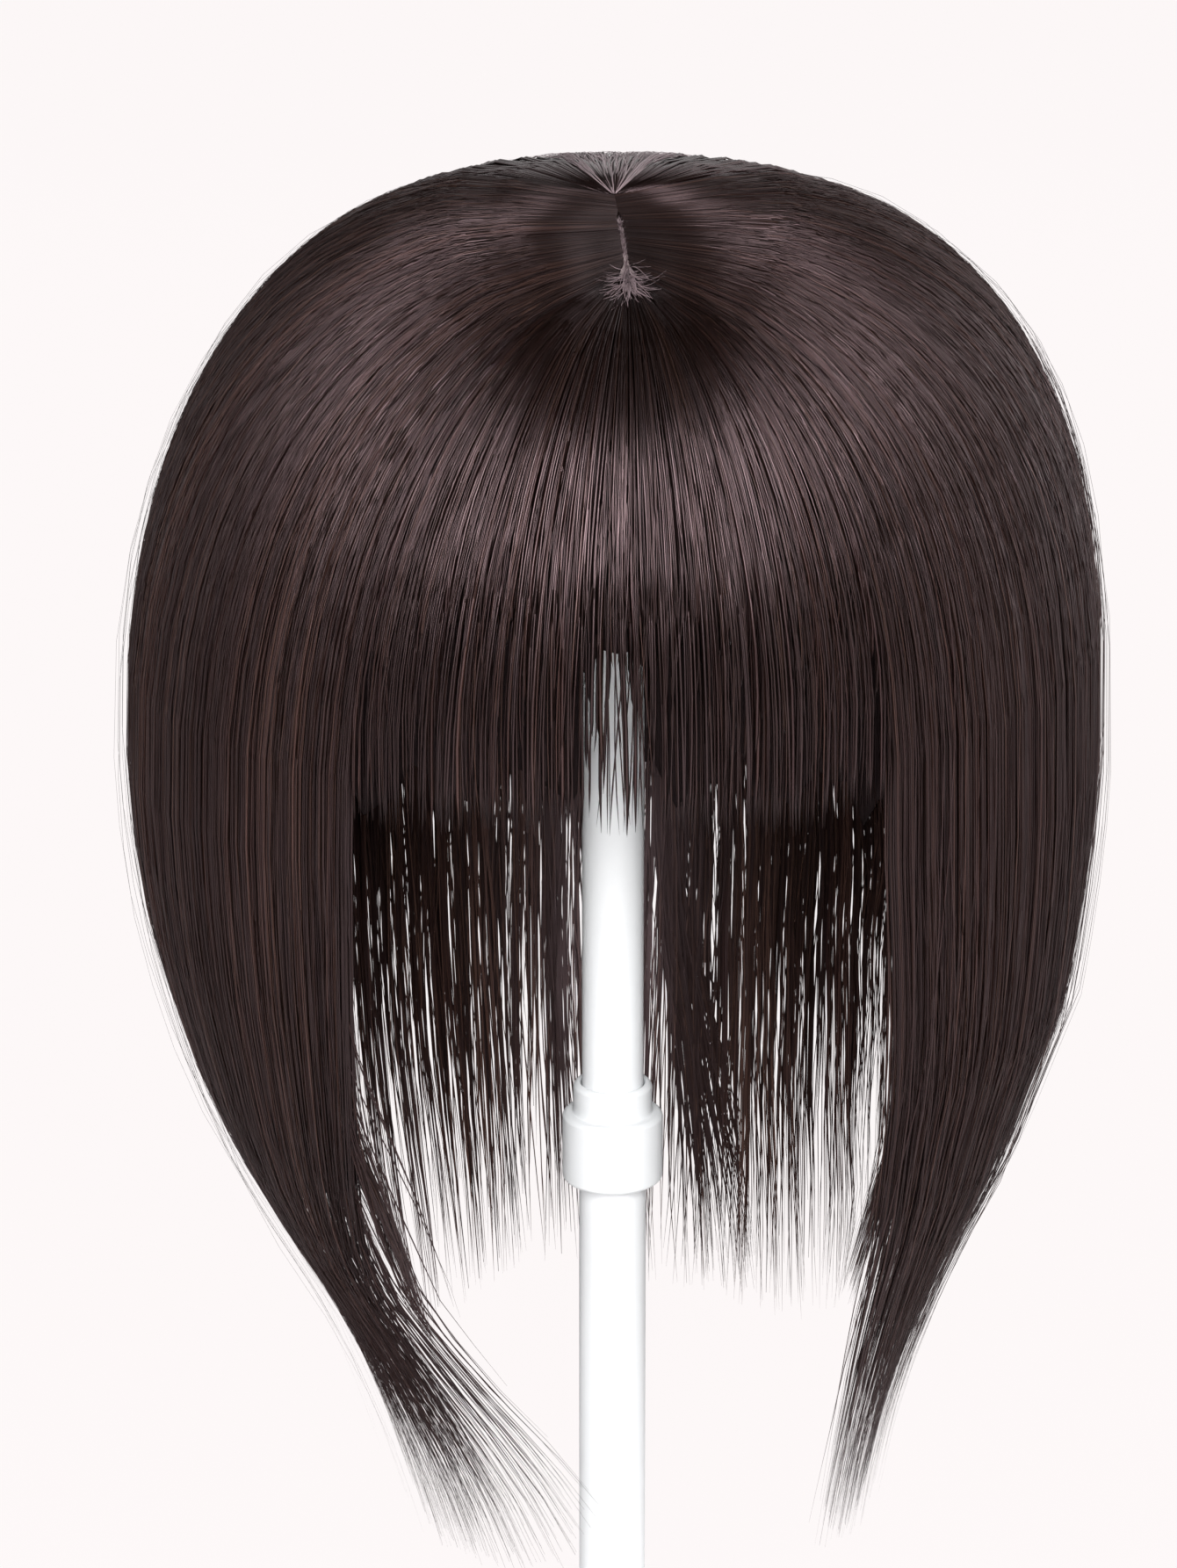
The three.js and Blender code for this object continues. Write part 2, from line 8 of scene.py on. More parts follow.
import bpy
import numpy as np
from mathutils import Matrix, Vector


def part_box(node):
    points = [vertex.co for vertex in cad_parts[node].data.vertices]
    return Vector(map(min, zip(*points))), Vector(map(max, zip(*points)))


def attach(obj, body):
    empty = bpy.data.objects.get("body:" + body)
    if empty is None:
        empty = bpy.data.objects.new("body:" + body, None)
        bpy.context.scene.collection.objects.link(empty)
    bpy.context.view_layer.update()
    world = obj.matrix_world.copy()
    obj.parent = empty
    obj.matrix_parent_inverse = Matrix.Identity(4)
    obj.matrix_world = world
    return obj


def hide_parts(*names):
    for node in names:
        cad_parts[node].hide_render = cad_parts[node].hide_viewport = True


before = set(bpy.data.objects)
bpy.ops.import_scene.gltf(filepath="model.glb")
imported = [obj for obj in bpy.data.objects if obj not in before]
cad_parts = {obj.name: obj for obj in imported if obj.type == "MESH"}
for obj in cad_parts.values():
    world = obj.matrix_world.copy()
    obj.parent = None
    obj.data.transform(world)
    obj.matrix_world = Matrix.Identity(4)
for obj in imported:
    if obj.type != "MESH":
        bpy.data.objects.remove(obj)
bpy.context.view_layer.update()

MM = 0.001
log = logging.getLogger("hair_topper")


class Section(Enum):
    """The four sections that the hair falls in."""

    LEFT = "left"
    RIGHT = "right"
    BACK = "back"
    FRINGE = "fringe"


class Column(Enum):
    """The columns of the table of hanging shares."""

    LEFT = "left"
    RIGHT = "right"
    FRONT = "front"
    BACK = "back"
    LEFT_EDGE = "left_edge"
    RIGHT_EDGE = "right_edge"


@dataclass(frozen=True)
class HangRow:
    """How far in the hair has drawn at one level below its widest one.

    at is the share of the way down to the longest tips. The edges are where the front edge of each
    lock lies, as a share of the half-width there.
    """

    at: float
    left: float
    right: float
    front: float
    back: float
    left_edge: float
    right_edge: float


@dataclass(frozen=True)
class TipRow:
    """Where each section ends, as shares of its drop, at one share of the way across it."""

    across: float
    left: float
    right: float
    back: float
    fringe: float


HANG = (
    HangRow(0.0, 1.0, 1.0, 1.0, 1.0, 0.53, 0.55),
    HangRow(0.1, 0.99, 0.99, 0.99, 0.99, 0.535, 0.565),
    HangRow(0.2, 0.965, 0.97, 0.97, 0.97, 0.55, 0.585),
    HangRow(0.3, 0.92, 0.945, 0.94, 0.93, 0.575, 0.6),
    HangRow(0.4, 0.87, 0.885, 0.9, 0.89, 0.61, 0.63),
    HangRow(0.5, 0.8, 0.835, 0.85, 0.84, 0.66, 0.66),
    HangRow(0.6, 0.71, 0.755, 0.8, 0.8, 0.7, 0.7),
    HangRow(0.7, 0.61, 0.69, 0.74, 0.75, 0.66, 0.74),
    HangRow(0.8, 0.545, 0.635, 0.68, 0.71, 0.56, 0.78),
    HangRow(0.9, 0.49, 0.595, 0.62, 0.67, 0.48, 0.8),
    HangRow(1.0, 0.45, 0.57, 0.58, 0.64, 0.42, 0.8),
)

TIPS = (
    TipRow(0.0, 0.93, 0.97, 0.91, 1.0),
    TipRow(0.15, 0.985, 1.0, 0.88, 1.01),
    TipRow(0.35, 1.0, 0.99, 0.93, 0.99),
    TipRow(0.6, 0.95, 0.95, 0.9, 1.0),
    TipRow(0.8, 0.92, 0.93, 0.94, 1.01),
    TipRow(1.0, 0.89, 0.91, 0.91, 0.97),
)


def smooth_step(value: np.ndarray, low: float, high: float) -> np.ndarray:
    """Rises smoothly from 0 at low to 1 at high.

    Args:
        value: the values to map.
        low: where the rise starts.
        high: where it ends.

    Returns:
        The mapped values.
    """
    share = np.clip((value - low) / (high - low), 0.0, 1.0)
    return share * share * (3.0 - 2.0 * share)


def blend(low: np.ndarray, high: np.ndarray, share: np.ndarray) -> np.ndarray:
    """Mixes two values or arrays, low where share is 0 and high where it is 1."""
    return low + (high - low) * share


def powered(value: np.ndarray, power: float) -> np.ndarray:
    """Raises the size of a value to a power and keeps its sign."""
    return np.sign(value) * np.abs(value) ** power


@dataclass(frozen=True)
class HairForm:
    """The outer form that the hair keeps, in metres, and the points on and under it.

    parting_closes is where along the parting, from its front end, the hair closes over it, and
    whorl_closes is how far the opening at its front end reaches. back_follows is how far the back
    hair draws in with the sides, and back_gathers how far its outer strands keep from the edge. The
    hair is as thick as on the crown from crown_grown of a strand's way over the crown, thickens for
    the sides from side_from, and thins for the tips from tip_from of the way down.
    """

    half_width: float = field(default_factory=lambda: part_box("hair_right")[1][0])
    depth_front: float = field(default_factory=lambda: -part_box("fringe")[0][1])
    depth_back: float = 0.088
    rise: float = 0.125
    drop: float = 0.304
    tip_z: float = field(default_factory=lambda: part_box("hair_left")[0][2])
    fringe_drop: float = 0.117
    plan_power: float = 2.3
    crown_power: float = 2.55
    lopside: float = 0.2
    root_thickness: float = 0.0012
    crown_thickness: float = 0.004
    side_thickness: float = 0.007
    tip_thickness: float = 0.0024
    parting_front: tuple[float, float] = (0.0027, -0.045)
    parting_back: tuple[float, float] = (0.0, -0.010)
    parting_width: float = 0.0014
    whorl_radius: float = 0.0018
    parting_ragged: float = 0.35
    parting_closes: tuple[float, float] = (0.58, 0.72)
    whorl_closes: float = 0.12
    root_turn: float = math.radians(78.0)
    back_edge: float = math.radians(118.0)
    back_follows: float = 0.8
    back_gathers: float = 0.1
    crown_grown: float = 0.2
    side_from: float = 0.5
    tip_from: float = 0.25
    halvings: int = 24

    @property
    def crown_z(self) -> float:
        """Height of the top of the crown."""
        return self.tip_z + self.drop

    @property
    def ring_z(self) -> float:
        """Height of the hair's widest level."""
        return self.crown_z - self.rise

    def hang(self, column: Column, down: np.ndarray) -> np.ndarray:
        """Reads one column of the hanging table at a share of the way down."""
        rows = [getattr(row, column.value) for row in HANG]
        return np.interp(down, [row.at for row in HANG], rows)

    def ring(self, angle: np.ndarray) -> tuple[np.ndarray, np.ndarray]:
        """Plan place on the widest level, as shares.

        Args:
            angle: angle round the hair from the front towards +X.

        Returns:
            Sideways and forward shares.
        """
        x = powered(np.sin(angle), 2.0 / self.plan_power)
        y = -powered(np.cos(angle), 2.0 / self.plan_power)
        return x, y

    def depth(self, y: np.ndarray) -> np.ndarray:
        """The half-depth on the side that y points to."""
        return np.where(y < 0.0, self.depth_front, self.depth_back)

    def crown_share(self, x: np.ndarray, y: np.ndarray) -> np.ndarray:
        """Height of the crown over a plan place in shares.

        Args:
            x: share of the half-width.
            y: share of the half-depth.

        Returns:
            Shares from 0 at the widest level to 1 on top.
        """
        reach = (np.abs(x) ** self.plan_power + np.abs(y) ** self.plan_power) ** (1.0 / self.plan_power)
        power = self.crown_power + self.lopside * np.clip(x, -1.0, 1.0)
        return np.maximum(0.0, 1.0 - np.minimum(reach, 1.0) ** power) ** (1.0 / power)

    def crown_point(self, x: np.ndarray, y: np.ndarray, under: np.ndarray) -> np.ndarray:
        """Points on the layer that lies a given depth under the outer form.

        Args:
            x: share of the half-width.
            y: share of the half-depth.
            under: depth under the outer form.

        Returns:
            Points, one more axis than x.
        """
        high = self.ring_z + (self.rise - under) * self.crown_share(x, y)
        return np.stack([x * (self.half_width - under), y * (self.depth(y) - under), high], axis=-1)

    def layer_points(self, x: np.ndarray, y: np.ndarray, under: float) -> np.ndarray:
        """Points on a layer of the crown over plan places in metres.

        Args:
            x: sideways places.
            y: forward places.
            under: depth under the outer form.

        Returns:
            Points, one more axis than x.
        """
        share = self.crown_share(x / (self.half_width - under), y / (self.depth(y) - under))
        return np.stack([x, y, self.ring_z + (self.rise - under) * share], axis=-1)

    def hang_point(self, angle: np.ndarray, down: np.ndarray, under: np.ndarray) -> np.ndarray:
        """Points below the widest level.

        Args:
            angle: angle round the hair from the front towards +X.
            down: share of the way down to the longest tips.
            under: depth under the outer form.

        Returns:
            Points, one more axis than angle.
        """
        x, y = self.ring(angle)
        across = np.where(x < 0.0, self.hang(Column.LEFT, down), self.hang(Column.RIGHT, down))
        along = np.where(y < 0.0, self.hang(Column.FRONT, down), self.hang(Column.BACK, down))
        wide = self.half_width * across - under
        deep = self.depth(y) * along - under
        high = self.ring_z - down * (self.drop - self.rise)
        return np.stack([x * wide, y * deep, np.broadcast_to(high, x.shape)], axis=-1)

    def parting_x(self, y: np.ndarray) -> np.ndarray:
        """Sideways place of the parting, which leans a little to the right as it comes forward."""
        front, back = self.parting_front, self.parting_back
        return blend(back[0], front[0], np.clip((y - back[1]) / (front[1] - back[1]), 0.0, 1.0))

    def root(self, section: Section, across: np.ndarray) -> tuple[np.ndarray, np.ndarray]:
        """Plan place where the strands start, in metres.

        Args:
            section: the section of hair.
            across: share of the way across the section.

        Returns:
            Sideways and forward places.
        """
        if section in (Section.LEFT, Section.RIGHT):
            y = blend(self.parting_front[1], self.parting_back[1], across)
            closed = smooth_step(across, *self.parting_closes)
            ragged = 1.0 + self.parting_ragged * np.sin(211.0 * across) * np.sin(97.0 * across + 1.0)
            line = self.parting_width / 2.0 * ragged * (1.0 - closed)
            away = blend(line, self.whorl_radius, 1.0 - smooth_step(across, 0.0, self.whorl_closes))
            side = -1.0 if section is Section.LEFT else 1.0
            return self.parting_x(y) + side * away, y
        in_front = section is Section.FRINGE
        towards = 0.0 if in_front else math.pi
        middle = self.parting_front if in_front else self.parting_back
        angle = blend(towards - self.root_turn, towards + self.root_turn, across)
        x = middle[0] + self.whorl_radius * np.sin(angle)
        return x, middle[1] - self.whorl_radius * np.cos(angle)

    def edge_angle(self, column: Column, down: np.ndarray) -> np.ndarray:
        """Angle of a lock's front edge at a share of the way down."""
        return np.arcsin(self.hang(column, down) ** (self.plan_power / 2.0))

    def angle(self, section: Section, across: np.ndarray, down: np.ndarray) -> np.ndarray:
        """Angle round the hair of a strand, which may shift as it hangs.

        Args:
            section: the section of hair.
            across: share of the way across the section.
            down: share of the way down from the widest level.

        Returns:
            Angles from the front towards +X.
        """
        if section is Section.LEFT:
            return -blend(self.edge_angle(Column.LEFT_EDGE, down), self.back_edge, across)
        if section is Section.RIGHT:
            return blend(self.edge_angle(Column.RIGHT_EDGE, down), self.back_edge, across)
        if section is Section.BACK:
            spread = blend(1.0, -1.0, across)
            turn = (math.pi - self.back_edge) * spread
            drawn_in = blend(1.0, self.hang(Column.LEFT, down), self.back_follows)
            share = powered(np.sin(turn), 2.0 / self.plan_power) / drawn_in
            edge = math.sin(self.back_edge) ** (2.0 / self.plan_power)
            limit = edge * (1.0 - self.back_gathers + self.back_gathers * np.abs(spread))
            share = np.clip(share, -limit, limit)
            return math.pi - np.arcsin(powered(share, self.plan_power / 2.0))
        left = -self.edge_angle(Column.LEFT_EDGE, np.zeros_like(across))
        right = self.edge_angle(Column.RIGHT_EDGE, np.zeros_like(across))
        return blend(left, right, across)

    def tip_drop(self, section: Section, across: np.ndarray) -> np.ndarray:
        """How far below the crown a section ends.

        Args:
            section: the section of hair.
            across: share of the way across the section.

        Returns:
            Distances in metres.
        """
        rows = [getattr(row, section.value) for row in TIPS]
        shares = np.interp(across, [row.across for row in TIPS], rows)
        return shares * (self.fringe_drop if section is Section.FRINGE else self.drop)

    def thickness(self, on_crown: np.ndarray, down: np.ndarray) -> np.ndarray:
        """Thickness of the hair along a strand.

        Args:
            on_crown: share of the strand's way over the crown.
            down: share of the way down below the widest level.

        Returns:
            Thicknesses in metres.
        """
        grown = blend(self.root_thickness, self.crown_thickness, smooth_step(on_crown, 0.0, self.crown_grown))
        full = blend(grown, self.side_thickness, smooth_step(on_crown, self.side_from, 1.0))
        return blend(full, self.tip_thickness, smooth_step(down, self.tip_from, 1.0))

    def floor(self, on_crown: np.ndarray) -> np.ndarray:
        """Depth of the hair's inner side under the outer form."""
        return blend(self.crown_thickness, self.side_thickness, smooth_step(on_crown, self.side_from, 1.0))

    def reach_at(self, root: tuple[np.ndarray, np.ndarray], angle: np.ndarray,
                 height: np.ndarray) -> np.ndarray:
        """How far out towards the widest level a strand comes to a height, found by halving.

        Args:
            root: plan place of the roots in shares.
            angle: angle that each strand runs to.
            height: height share to come to.

        Returns:
            Shares of the way out.
        """
        near = np.zeros_like(angle)
        far = np.ones_like(angle)
        rim_x, rim_y = self.ring(angle)
        for _ in range(self.halvings):
            middle = (near + far) / 2.0
            above = self.crown_share(blend(root[0], rim_x, middle), blend(root[1], rim_y, middle)) > height
            near = np.where(above, middle, near)
            far = np.where(above, far, middle)
        return near


@dataclass(frozen=True)
class StrandStyle:
    """How the strands of one piece grow.

    Widths, curl and flare are in metres. layer is where in the hair's thickness they lie, 1 at its
    outer side. across is the part of the section that they grow in, and reach_over how far past its
    edges they may stray. starts is where on the crown they come out from under the others, and stops
    where they end there if they don't hang. clumps is how many share the section, and pull how far
    they draw their strands together. lean is how far they drift across the section as they hang.
    short_share of them end early, the shortest at that share of the full drop. matt ones don't shine.
    """

    label: str
    count: int
    width: tuple[float, float]
    flatness: float = 0.3
    layer: tuple[float, float] = (0.25, 1.0)
    across: tuple[float, float] = (0.0, 1.0)
    starts: float = 0.0
    clumps: int = 60
    pull: float = 0.6
    wave: float = 0.004
    stray: float = 0.0
    lean: float = 0.0
    reach_over: float = 0.0
    flare: float = 0.0
    short_share: float = 0.4
    shortest: float = 0.6
    shorter: float = 1.0
    stops: float = 1.0
    taper_from: float = 0.72
    tip_curl: float = 0.0
    matt: bool = False
    tone: tuple[float, float] = (0.0, 1.0)
    crown_steps: int = 11
    hang_steps: int = 10
    seed: int = 1


@dataclass
class StrandPaths:
    """The lines that strands follow, with what their finish needs."""

    points: np.ndarray
    outward: np.ndarray
    along: np.ndarray
    tone: np.ndarray
    clump_tone: np.ndarray
    width: np.ndarray


@dataclass
class StrandGrower:
    """Grows the strands of one section of hair inside the hair's outer form.

    edge is how near to the section's edges a strand may come. Strands face away from the upright
    axis, or from axis_drop below the widest level where they lie higher. tip_taper is the share of its
    width that a strand loses by its tip. Where they hang, inner strands come nearer to the outer form
    by the share rises, and loose ones stand off more by the share spreads.
    """

    form: HairForm
    section: Section
    edge: float = 0.002
    axis_drop: float = 0.03
    tip_taper: float = 0.92
    rises: float = 0.4
    spreads: float = 0.5

    def grow(self, style: StrandStyle) -> StrandPaths:
        """Grows the strands of one style.

        Args:
            style: how they grow.

        Returns:
            The paths of all strands.
        """
        rng = np.random.default_rng(style.seed)
        count = style.count
        steps = style.crown_steps + self.steps_down(style)
        start = blend(style.across[0], style.across[1], (np.arange(count) + rng.random(count)) / count)
        rng.shuffle(start)
        centre, clump = self.clump_of(start, style, rng)
        way = np.linspace(0.0, 1.0, steps + 1)[None, :]
        pull = style.pull * smooth_step(way, 0.1, 1.0) * rng.uniform(0.5, 1.0, (count, 1))
        across = start[:, None] + (centre - start)[:, None] * pull
        across = across + self.waves(way, clump, style, rng)
        across = across + style.lean * rng.uniform(0.25, 1.0, (count, 1)) * smooth_step(way, 0.45, 1.1)
        across = np.clip(across, self.edge - style.reach_over, 1.0 - self.edge + style.reach_over)
        drop_end = self.ends(start, style, rng)
        lift = blend(style.layer[0], style.layer[1], rng.random((count, 1)) ** 0.7)
        flare = style.flare * rng.random((count, 1)) ** 1.5
        shift = rng.uniform(-0.5, 0.5, (count, 1))
        points, along = self.lines(start, across, drop_end, (lift, flare, shift), style)
        middle = self.form.ring_z - self.axis_drop
        axis = np.stack([np.zeros_like(points[..., 0]), np.zeros_like(points[..., 0]),
                         np.minimum(points[..., 2], middle)], axis=-1)
        clump_tones = np.random.default_rng(style.seed + 100).random(style.clumps + 1)
        width = rng.uniform(style.width[0], style.width[1], (count, 1))
        tapered = 1.0 - self.tip_taper * smooth_step(way, style.taper_from, 1.0)
        taper = np.minimum(smooth_step(way, -0.05, 0.08), tapered)
        tone = rng.uniform(style.tone[0], style.tone[1], count)
        return StrandPaths(points, points - axis, along, tone, clump_tones[clump], width * taper)

    def steps_down(self, style: StrandStyle) -> int:
        """How many steps hang below the widest level; the fringe has none."""
        return 0 if self.section is Section.FRINGE else style.hang_steps

    def clump_of(self, start: np.ndarray, style: StrandStyle, rng: np.random.Generator) -> tuple:
        """Middle and number of the clump that each strand belongs to.

        Args:
            start: share across the section of each root.
            style: how the strands grow.
            rng: source of chance.

        Returns:
            Middles as shares across, and whole numbers.
        """
        clump = np.minimum((start * style.clumps).astype(int), style.clumps - 1)
        middles = (np.arange(style.clumps) + rng.uniform(0.15, 0.85, style.clumps)) / style.clumps
        return middles[clump], clump

    def waves(self, way: np.ndarray, clump: np.ndarray, style: StrandStyle,
              rng: np.random.Generator) -> np.ndarray:
        """Slow sideways waves, shared by a clump, and each strand's own straying.

        Args:
            way: share along the strand.
            clump: number of each strand's clump.
            style: how the strands grow.
            rng: source of chance.

        Returns:
            Shifts across the section.
        """
        phase = rng.uniform(0.0, 2.0 * math.pi, style.clumps)[clump][:, None]
        turns = rng.uniform(0.6, 1.6, style.clumps)[clump][:, None]
        shared = style.wave * np.sin(2.0 * math.pi * turns * way + phase) * way
        lean = rng.normal(0.0, 1.0, (len(clump), 1)) * style.stray
        own_phase = rng.uniform(0.0, 2.0 * math.pi, (len(clump), 1))
        own = 0.35 * style.wave * np.sin(2.0 * math.pi * 2.3 * way + own_phase) * way
        return shared + own + lean * way ** 1.5

    def ends(self, start: np.ndarray, style: StrandStyle, rng: np.random.Generator) -> np.ndarray:
        """How far below the crown each strand ends.

        Args:
            start: share across the section of each root.
            style: how the strands grow.
            rng: source of chance.

        Returns:
            Distances in metres.
        """
        full = self.form.tip_drop(self.section, start)
        short = rng.random(len(start)) < style.short_share
        cut = style.shortest + (1.0 - style.shortest) * rng.random(len(start)) ** style.shorter
        return full * np.where(short, cut, rng.uniform(0.965, 1.0, len(start)))

    def lines(self, start: np.ndarray, across: np.ndarray, drop_end: np.ndarray, place: tuple,
              style: StrandStyle) -> tuple:
        """Works out the points of each strand.

        Args:
            start: share across of each root.
            across: share across at each step.
            drop_end: how far below the crown each strand ends.
            place: where in the hair's thickness each strand lies, how far it stands off at its end, and
                how far its points shift along it, which keeps the outline smooth.
            style: how the strands grow.

        Returns:
            The points, and the length along each strand.
        """
        form = self.form
        lift, flare, shift = place
        steps_down = self.steps_down(style)
        root_x, root_y = form.root(self.section, start)
        root = root_x / form.half_width, root_y / form.depth(root_y)
        level = np.zeros_like(start)
        reach = np.ones_like(start)
        if self.section is Section.FRINGE:
            reach = form.reach_at(root, form.angle(self.section, across[:, -1], level),
                                  np.maximum(1.0 - drop_end / form.rise, 0.005))
        elif drop_end.min() < form.rise:
            drop_end = np.maximum(drop_end, form.rise * 1.02)
        even = np.linspace(0.0, 1.0, style.crown_steps + 1)[None, :]
        even = even + shift * 4.0 * even * (1.0 - even) / style.crown_steps
        share = blend(style.starts, style.stops, even)
        out = reach[:, None] * np.sin(share * math.pi / 2.0) ** (2.0 / form.crown_power)
        rim = form.ring(form.angle(self.section, across[:, : style.crown_steps + 1], np.zeros_like(out)))
        under = form.floor(share) - lift * form.thickness(share, np.zeros_like(share))
        under = under - flare * smooth_step(share, 0.0, 1.0)
        under = under + style.tip_curl * smooth_step(share, 0.78, 1.0) * (self.section is Section.FRINGE)
        plan = [blend(near[:, None], far, out) for near, far in zip(root, rim)]
        points = form.crown_point(*plan, under)
        if steps_down:
            step = np.arange(1, steps_down + 1)[None, :] / steps_down
            down = step * ((drop_end - form.rise) / (form.drop - form.rise))[:, None]
            angle = form.angle(self.section, across[:, style.crown_steps + 1:], down)
            below = form.side_thickness - lift * form.thickness(np.ones_like(down), down)
            below = below * (1.0 - self.rises * down) - flare * (1.0 + self.spreads * down)
            points = np.concatenate([points, form.hang_point(angle, down, below)], axis=1)
        length = np.linalg.norm(np.diff(points, axis=1), axis=-1)
        along = np.concatenate([np.zeros((len(start), 1)), np.cumsum(length, axis=1)], axis=1)
        return points, along


def unit(vectors: np.ndarray) -> np.ndarray:
    """Scales vectors to a length of one."""
    return vectors / np.maximum(np.linalg.norm(vectors, axis=-1, keepdims=True), 1e-9)


def object_from_arrays(name: str, vertices: np.ndarray, faces: np.ndarray,
                       flat: np.ndarray | None = None) -> bpy.types.Object:
    """Makes an object from arrays.

    Args:
        name: the object's name.
        vertices: points, one row each.
        faces: vertex numbers, all faces with the same number of corners.
        flat: which faces are flat shaded, or none of them.

    Returns:
        The new object, in the scene.
    """
    mesh = bpy.data.meshes.new(name)
    corners = faces.shape[1]
    mesh.vertices.add(len(vertices))
    mesh.vertices.foreach_set("co", vertices.astype(np.float32).ravel())
    mesh.loops.add(faces.size)
    mesh.loops.foreach_set("vertex_index", faces.astype(np.int32).ravel())
    mesh.polygons.add(len(faces))
    mesh.polygons.foreach_set("loop_start", (np.arange(len(faces)) * corners).astype(np.int32))
    smooth = np.ones(len(faces), dtype=bool) if flat is None else ~flat
    mesh.polygons.foreach_set("use_smooth", smooth)
    mesh.update(calc_edges=True)
    mesh.validate()
    piece = bpy.data.objects.new(name, mesh)
    bpy.context.scene.collection.objects.link(piece)
    return piece


def point_values(piece: bpy.types.Object, name: str, values: np.ndarray) -> None:
    """Stores a number on each vertex of a piece, for its finish to read.

    Args:
        piece: the piece.
        name: the attribute's name.
        values: one number per vertex.
    """
    layer = piece.data.attributes.new(name, "FLOAT", "POINT")
    layer.data.foreach_set("value", values.astype(np.float32).ravel())


@dataclass(frozen=True)
class StrandMesher:
    """Turns strand paths into one mesh of slim closed three-sided strands."""

    name: str
    flatness: float
    streak_shift: float = 7.0
    cell_margin: float = 0.06

    def build(self, paths: StrandPaths) -> bpy.types.Object:
        """Builds the mesh and stores tone, place along and place across on it.

        Args:
            paths: the strands.

        Returns:
            The new object.
        """
        tangent = unit(np.gradient(paths.points, axis=1))
        side = unit(np.cross(tangent, paths.outward))
        outward = np.cross(side, tangent)
        half = (paths.width / 2.0)[..., None]
        high = half * 2.0 * self.flatness
        ring = np.stack([paths.points - side * half, paths.points + side * half,
                         paths.points + outward * high], axis=2)
        count, steps = paths.points.shape[:2]
        sides = np.tile(np.array([True, False, False]), count * (steps - 1) * 2)
        flat = np.concatenate([sides, np.ones(count * 2, dtype=bool)])
        piece = object_from_arrays(self.name, ring.reshape(-1, 3), self.faces(count, steps), flat)
        self.lay_out(piece, count, steps)
        each = np.ones((count, steps, 3))
        point_values(piece, "tone", each * paths.tone[:, None, None])
        point_values(piece, "clump_tone", each * paths.clump_tone[:, None, None])
        point_values(piece, "along", each * paths.along[:, :, None])
        spread = paths.width[:, :, None] * np.array([-0.5, 0.5, 0.0])
        point_values(piece, "across", spread + each * self.streak_shift * paths.tone[:, None, None])
        return piece

    def lay_out(self, piece: bpy.types.Object, count: int, steps: int) -> None:
        """Gives each strand a cell of its own in a UV map: across it over, along it up.

        Args:
            piece: the strands' object.
            count: how many strands.
            steps: points along each.
        """
        rows = max(1, round(math.sqrt(count / 1.6)))
        columns = math.ceil(count / rows)
        corner = np.arange(3)[None, :]
        level = np.arange(steps - 1)[:, None] / (steps - 1)
        above = level + 1.0 / (steps - 1) + corner * 0.0
        level = level + corner * 0.0
        left = corner / 3.0 + level * 0.0
        right = left + 1.0 / 3.0
        one = np.stack([left, level, right, level, right, above], axis=-1).reshape(-1, 3, 2)
        two = np.stack([left, level, right, above, left, above], axis=-1).reshape(-1, 3, 2)
        start = np.array([[[0.6, 0.0], [0.3, 0.02], [0.0, 0.0]]])
        end = np.array([[[0.0, 1.0], [0.3, 0.98], [0.6, 1.0]]])
        number = np.arange(count)
        cell = np.stack([number % columns, number // columns], axis=-1)[:, None, None, :]
        size = np.array([1.0 / columns, 1.0 / rows])
        inside = 1.0 - 2.0 * self.cell_margin
        parts = [(cell + self.cell_margin + inside * part[None]) * size for part in (one, two, start, end)]
        placed = np.concatenate([part.reshape(-1, 2) for part in parts])
        layer = piece.data.uv_layers.new(name="OFBake")
        layer.data.foreach_set("uv", placed.astype(np.float32).ravel())

    def faces(self, count: int, steps: int) -> np.ndarray:
        """Triangles of all strands: two for each side of each step, and one on each end.

        Args:
            count: how many strands.
            steps: points along each.

        Returns:
            Vertex numbers, three to a row.
        """
        first = np.arange(count)[:, None, None] * steps * 3
        level = np.arange(steps - 1)[None, :, None] * 3
        corner = np.arange(3)[None, None, :]
        near = first + level + corner
        beside = first + level + (corner + 1) % 3
        one = np.stack([near, beside, beside + 3], axis=-1).reshape(-1, 3)
        two = np.stack([near, beside + 3, near + 3], axis=-1).reshape(-1, 3)
        start = first[:, 0, :] + np.array([[2, 1, 0]])
        end = first[:, 0, :] + (steps - 1) * 3 + np.array([[0, 1, 2]])
        return np.concatenate([one, two, start, end])


def wall_faces(rows: int, columns: int) -> np.ndarray:
    """Triangles of a closed wall between an outer and an inner grid of points.

    Args:
        rows: rows of each grid.
        columns: points in a row.

    Returns:
        Vertex numbers, three to a row, the inner grid's after the outer's.
    """
    at = np.arange(rows * columns).reshape(rows, columns)
    inner = at + rows * columns

    def quads(a: np.ndarray, b: np.ndarray, c: np.ndarray, d: np.ndarray) -> list[np.ndarray]:
        """Splits quads into triangles."""
        a, b, c, d = (part.ravel() for part in (a, b, c, d))
        return [np.stack([a, b, c], axis=-1), np.stack([a, c, d], axis=-1)]

    faces = quads(at[:-1, :-1], at[:-1, 1:], at[1:, 1:], at[1:, :-1])
    faces += quads(inner[:-1, :-1], inner[1:, :-1], inner[1:, 1:], inner[:-1, 1:])
    faces += quads(at[0, :-1], inner[0, :-1], inner[0, 1:], at[0, 1:])
    faces += quads(at[-1, :-1], at[-1, 1:], inner[-1, 1:], inner[-1, :-1])
    faces += quads(at[:-1, 0], at[1:, 0], inner[1:, 0], inner[:-1, 0])
    faces += quads(at[:-1, -1], inner[:-1, -1], inner[1:, -1], at[1:, -1])
    return np.concatenate(faces)


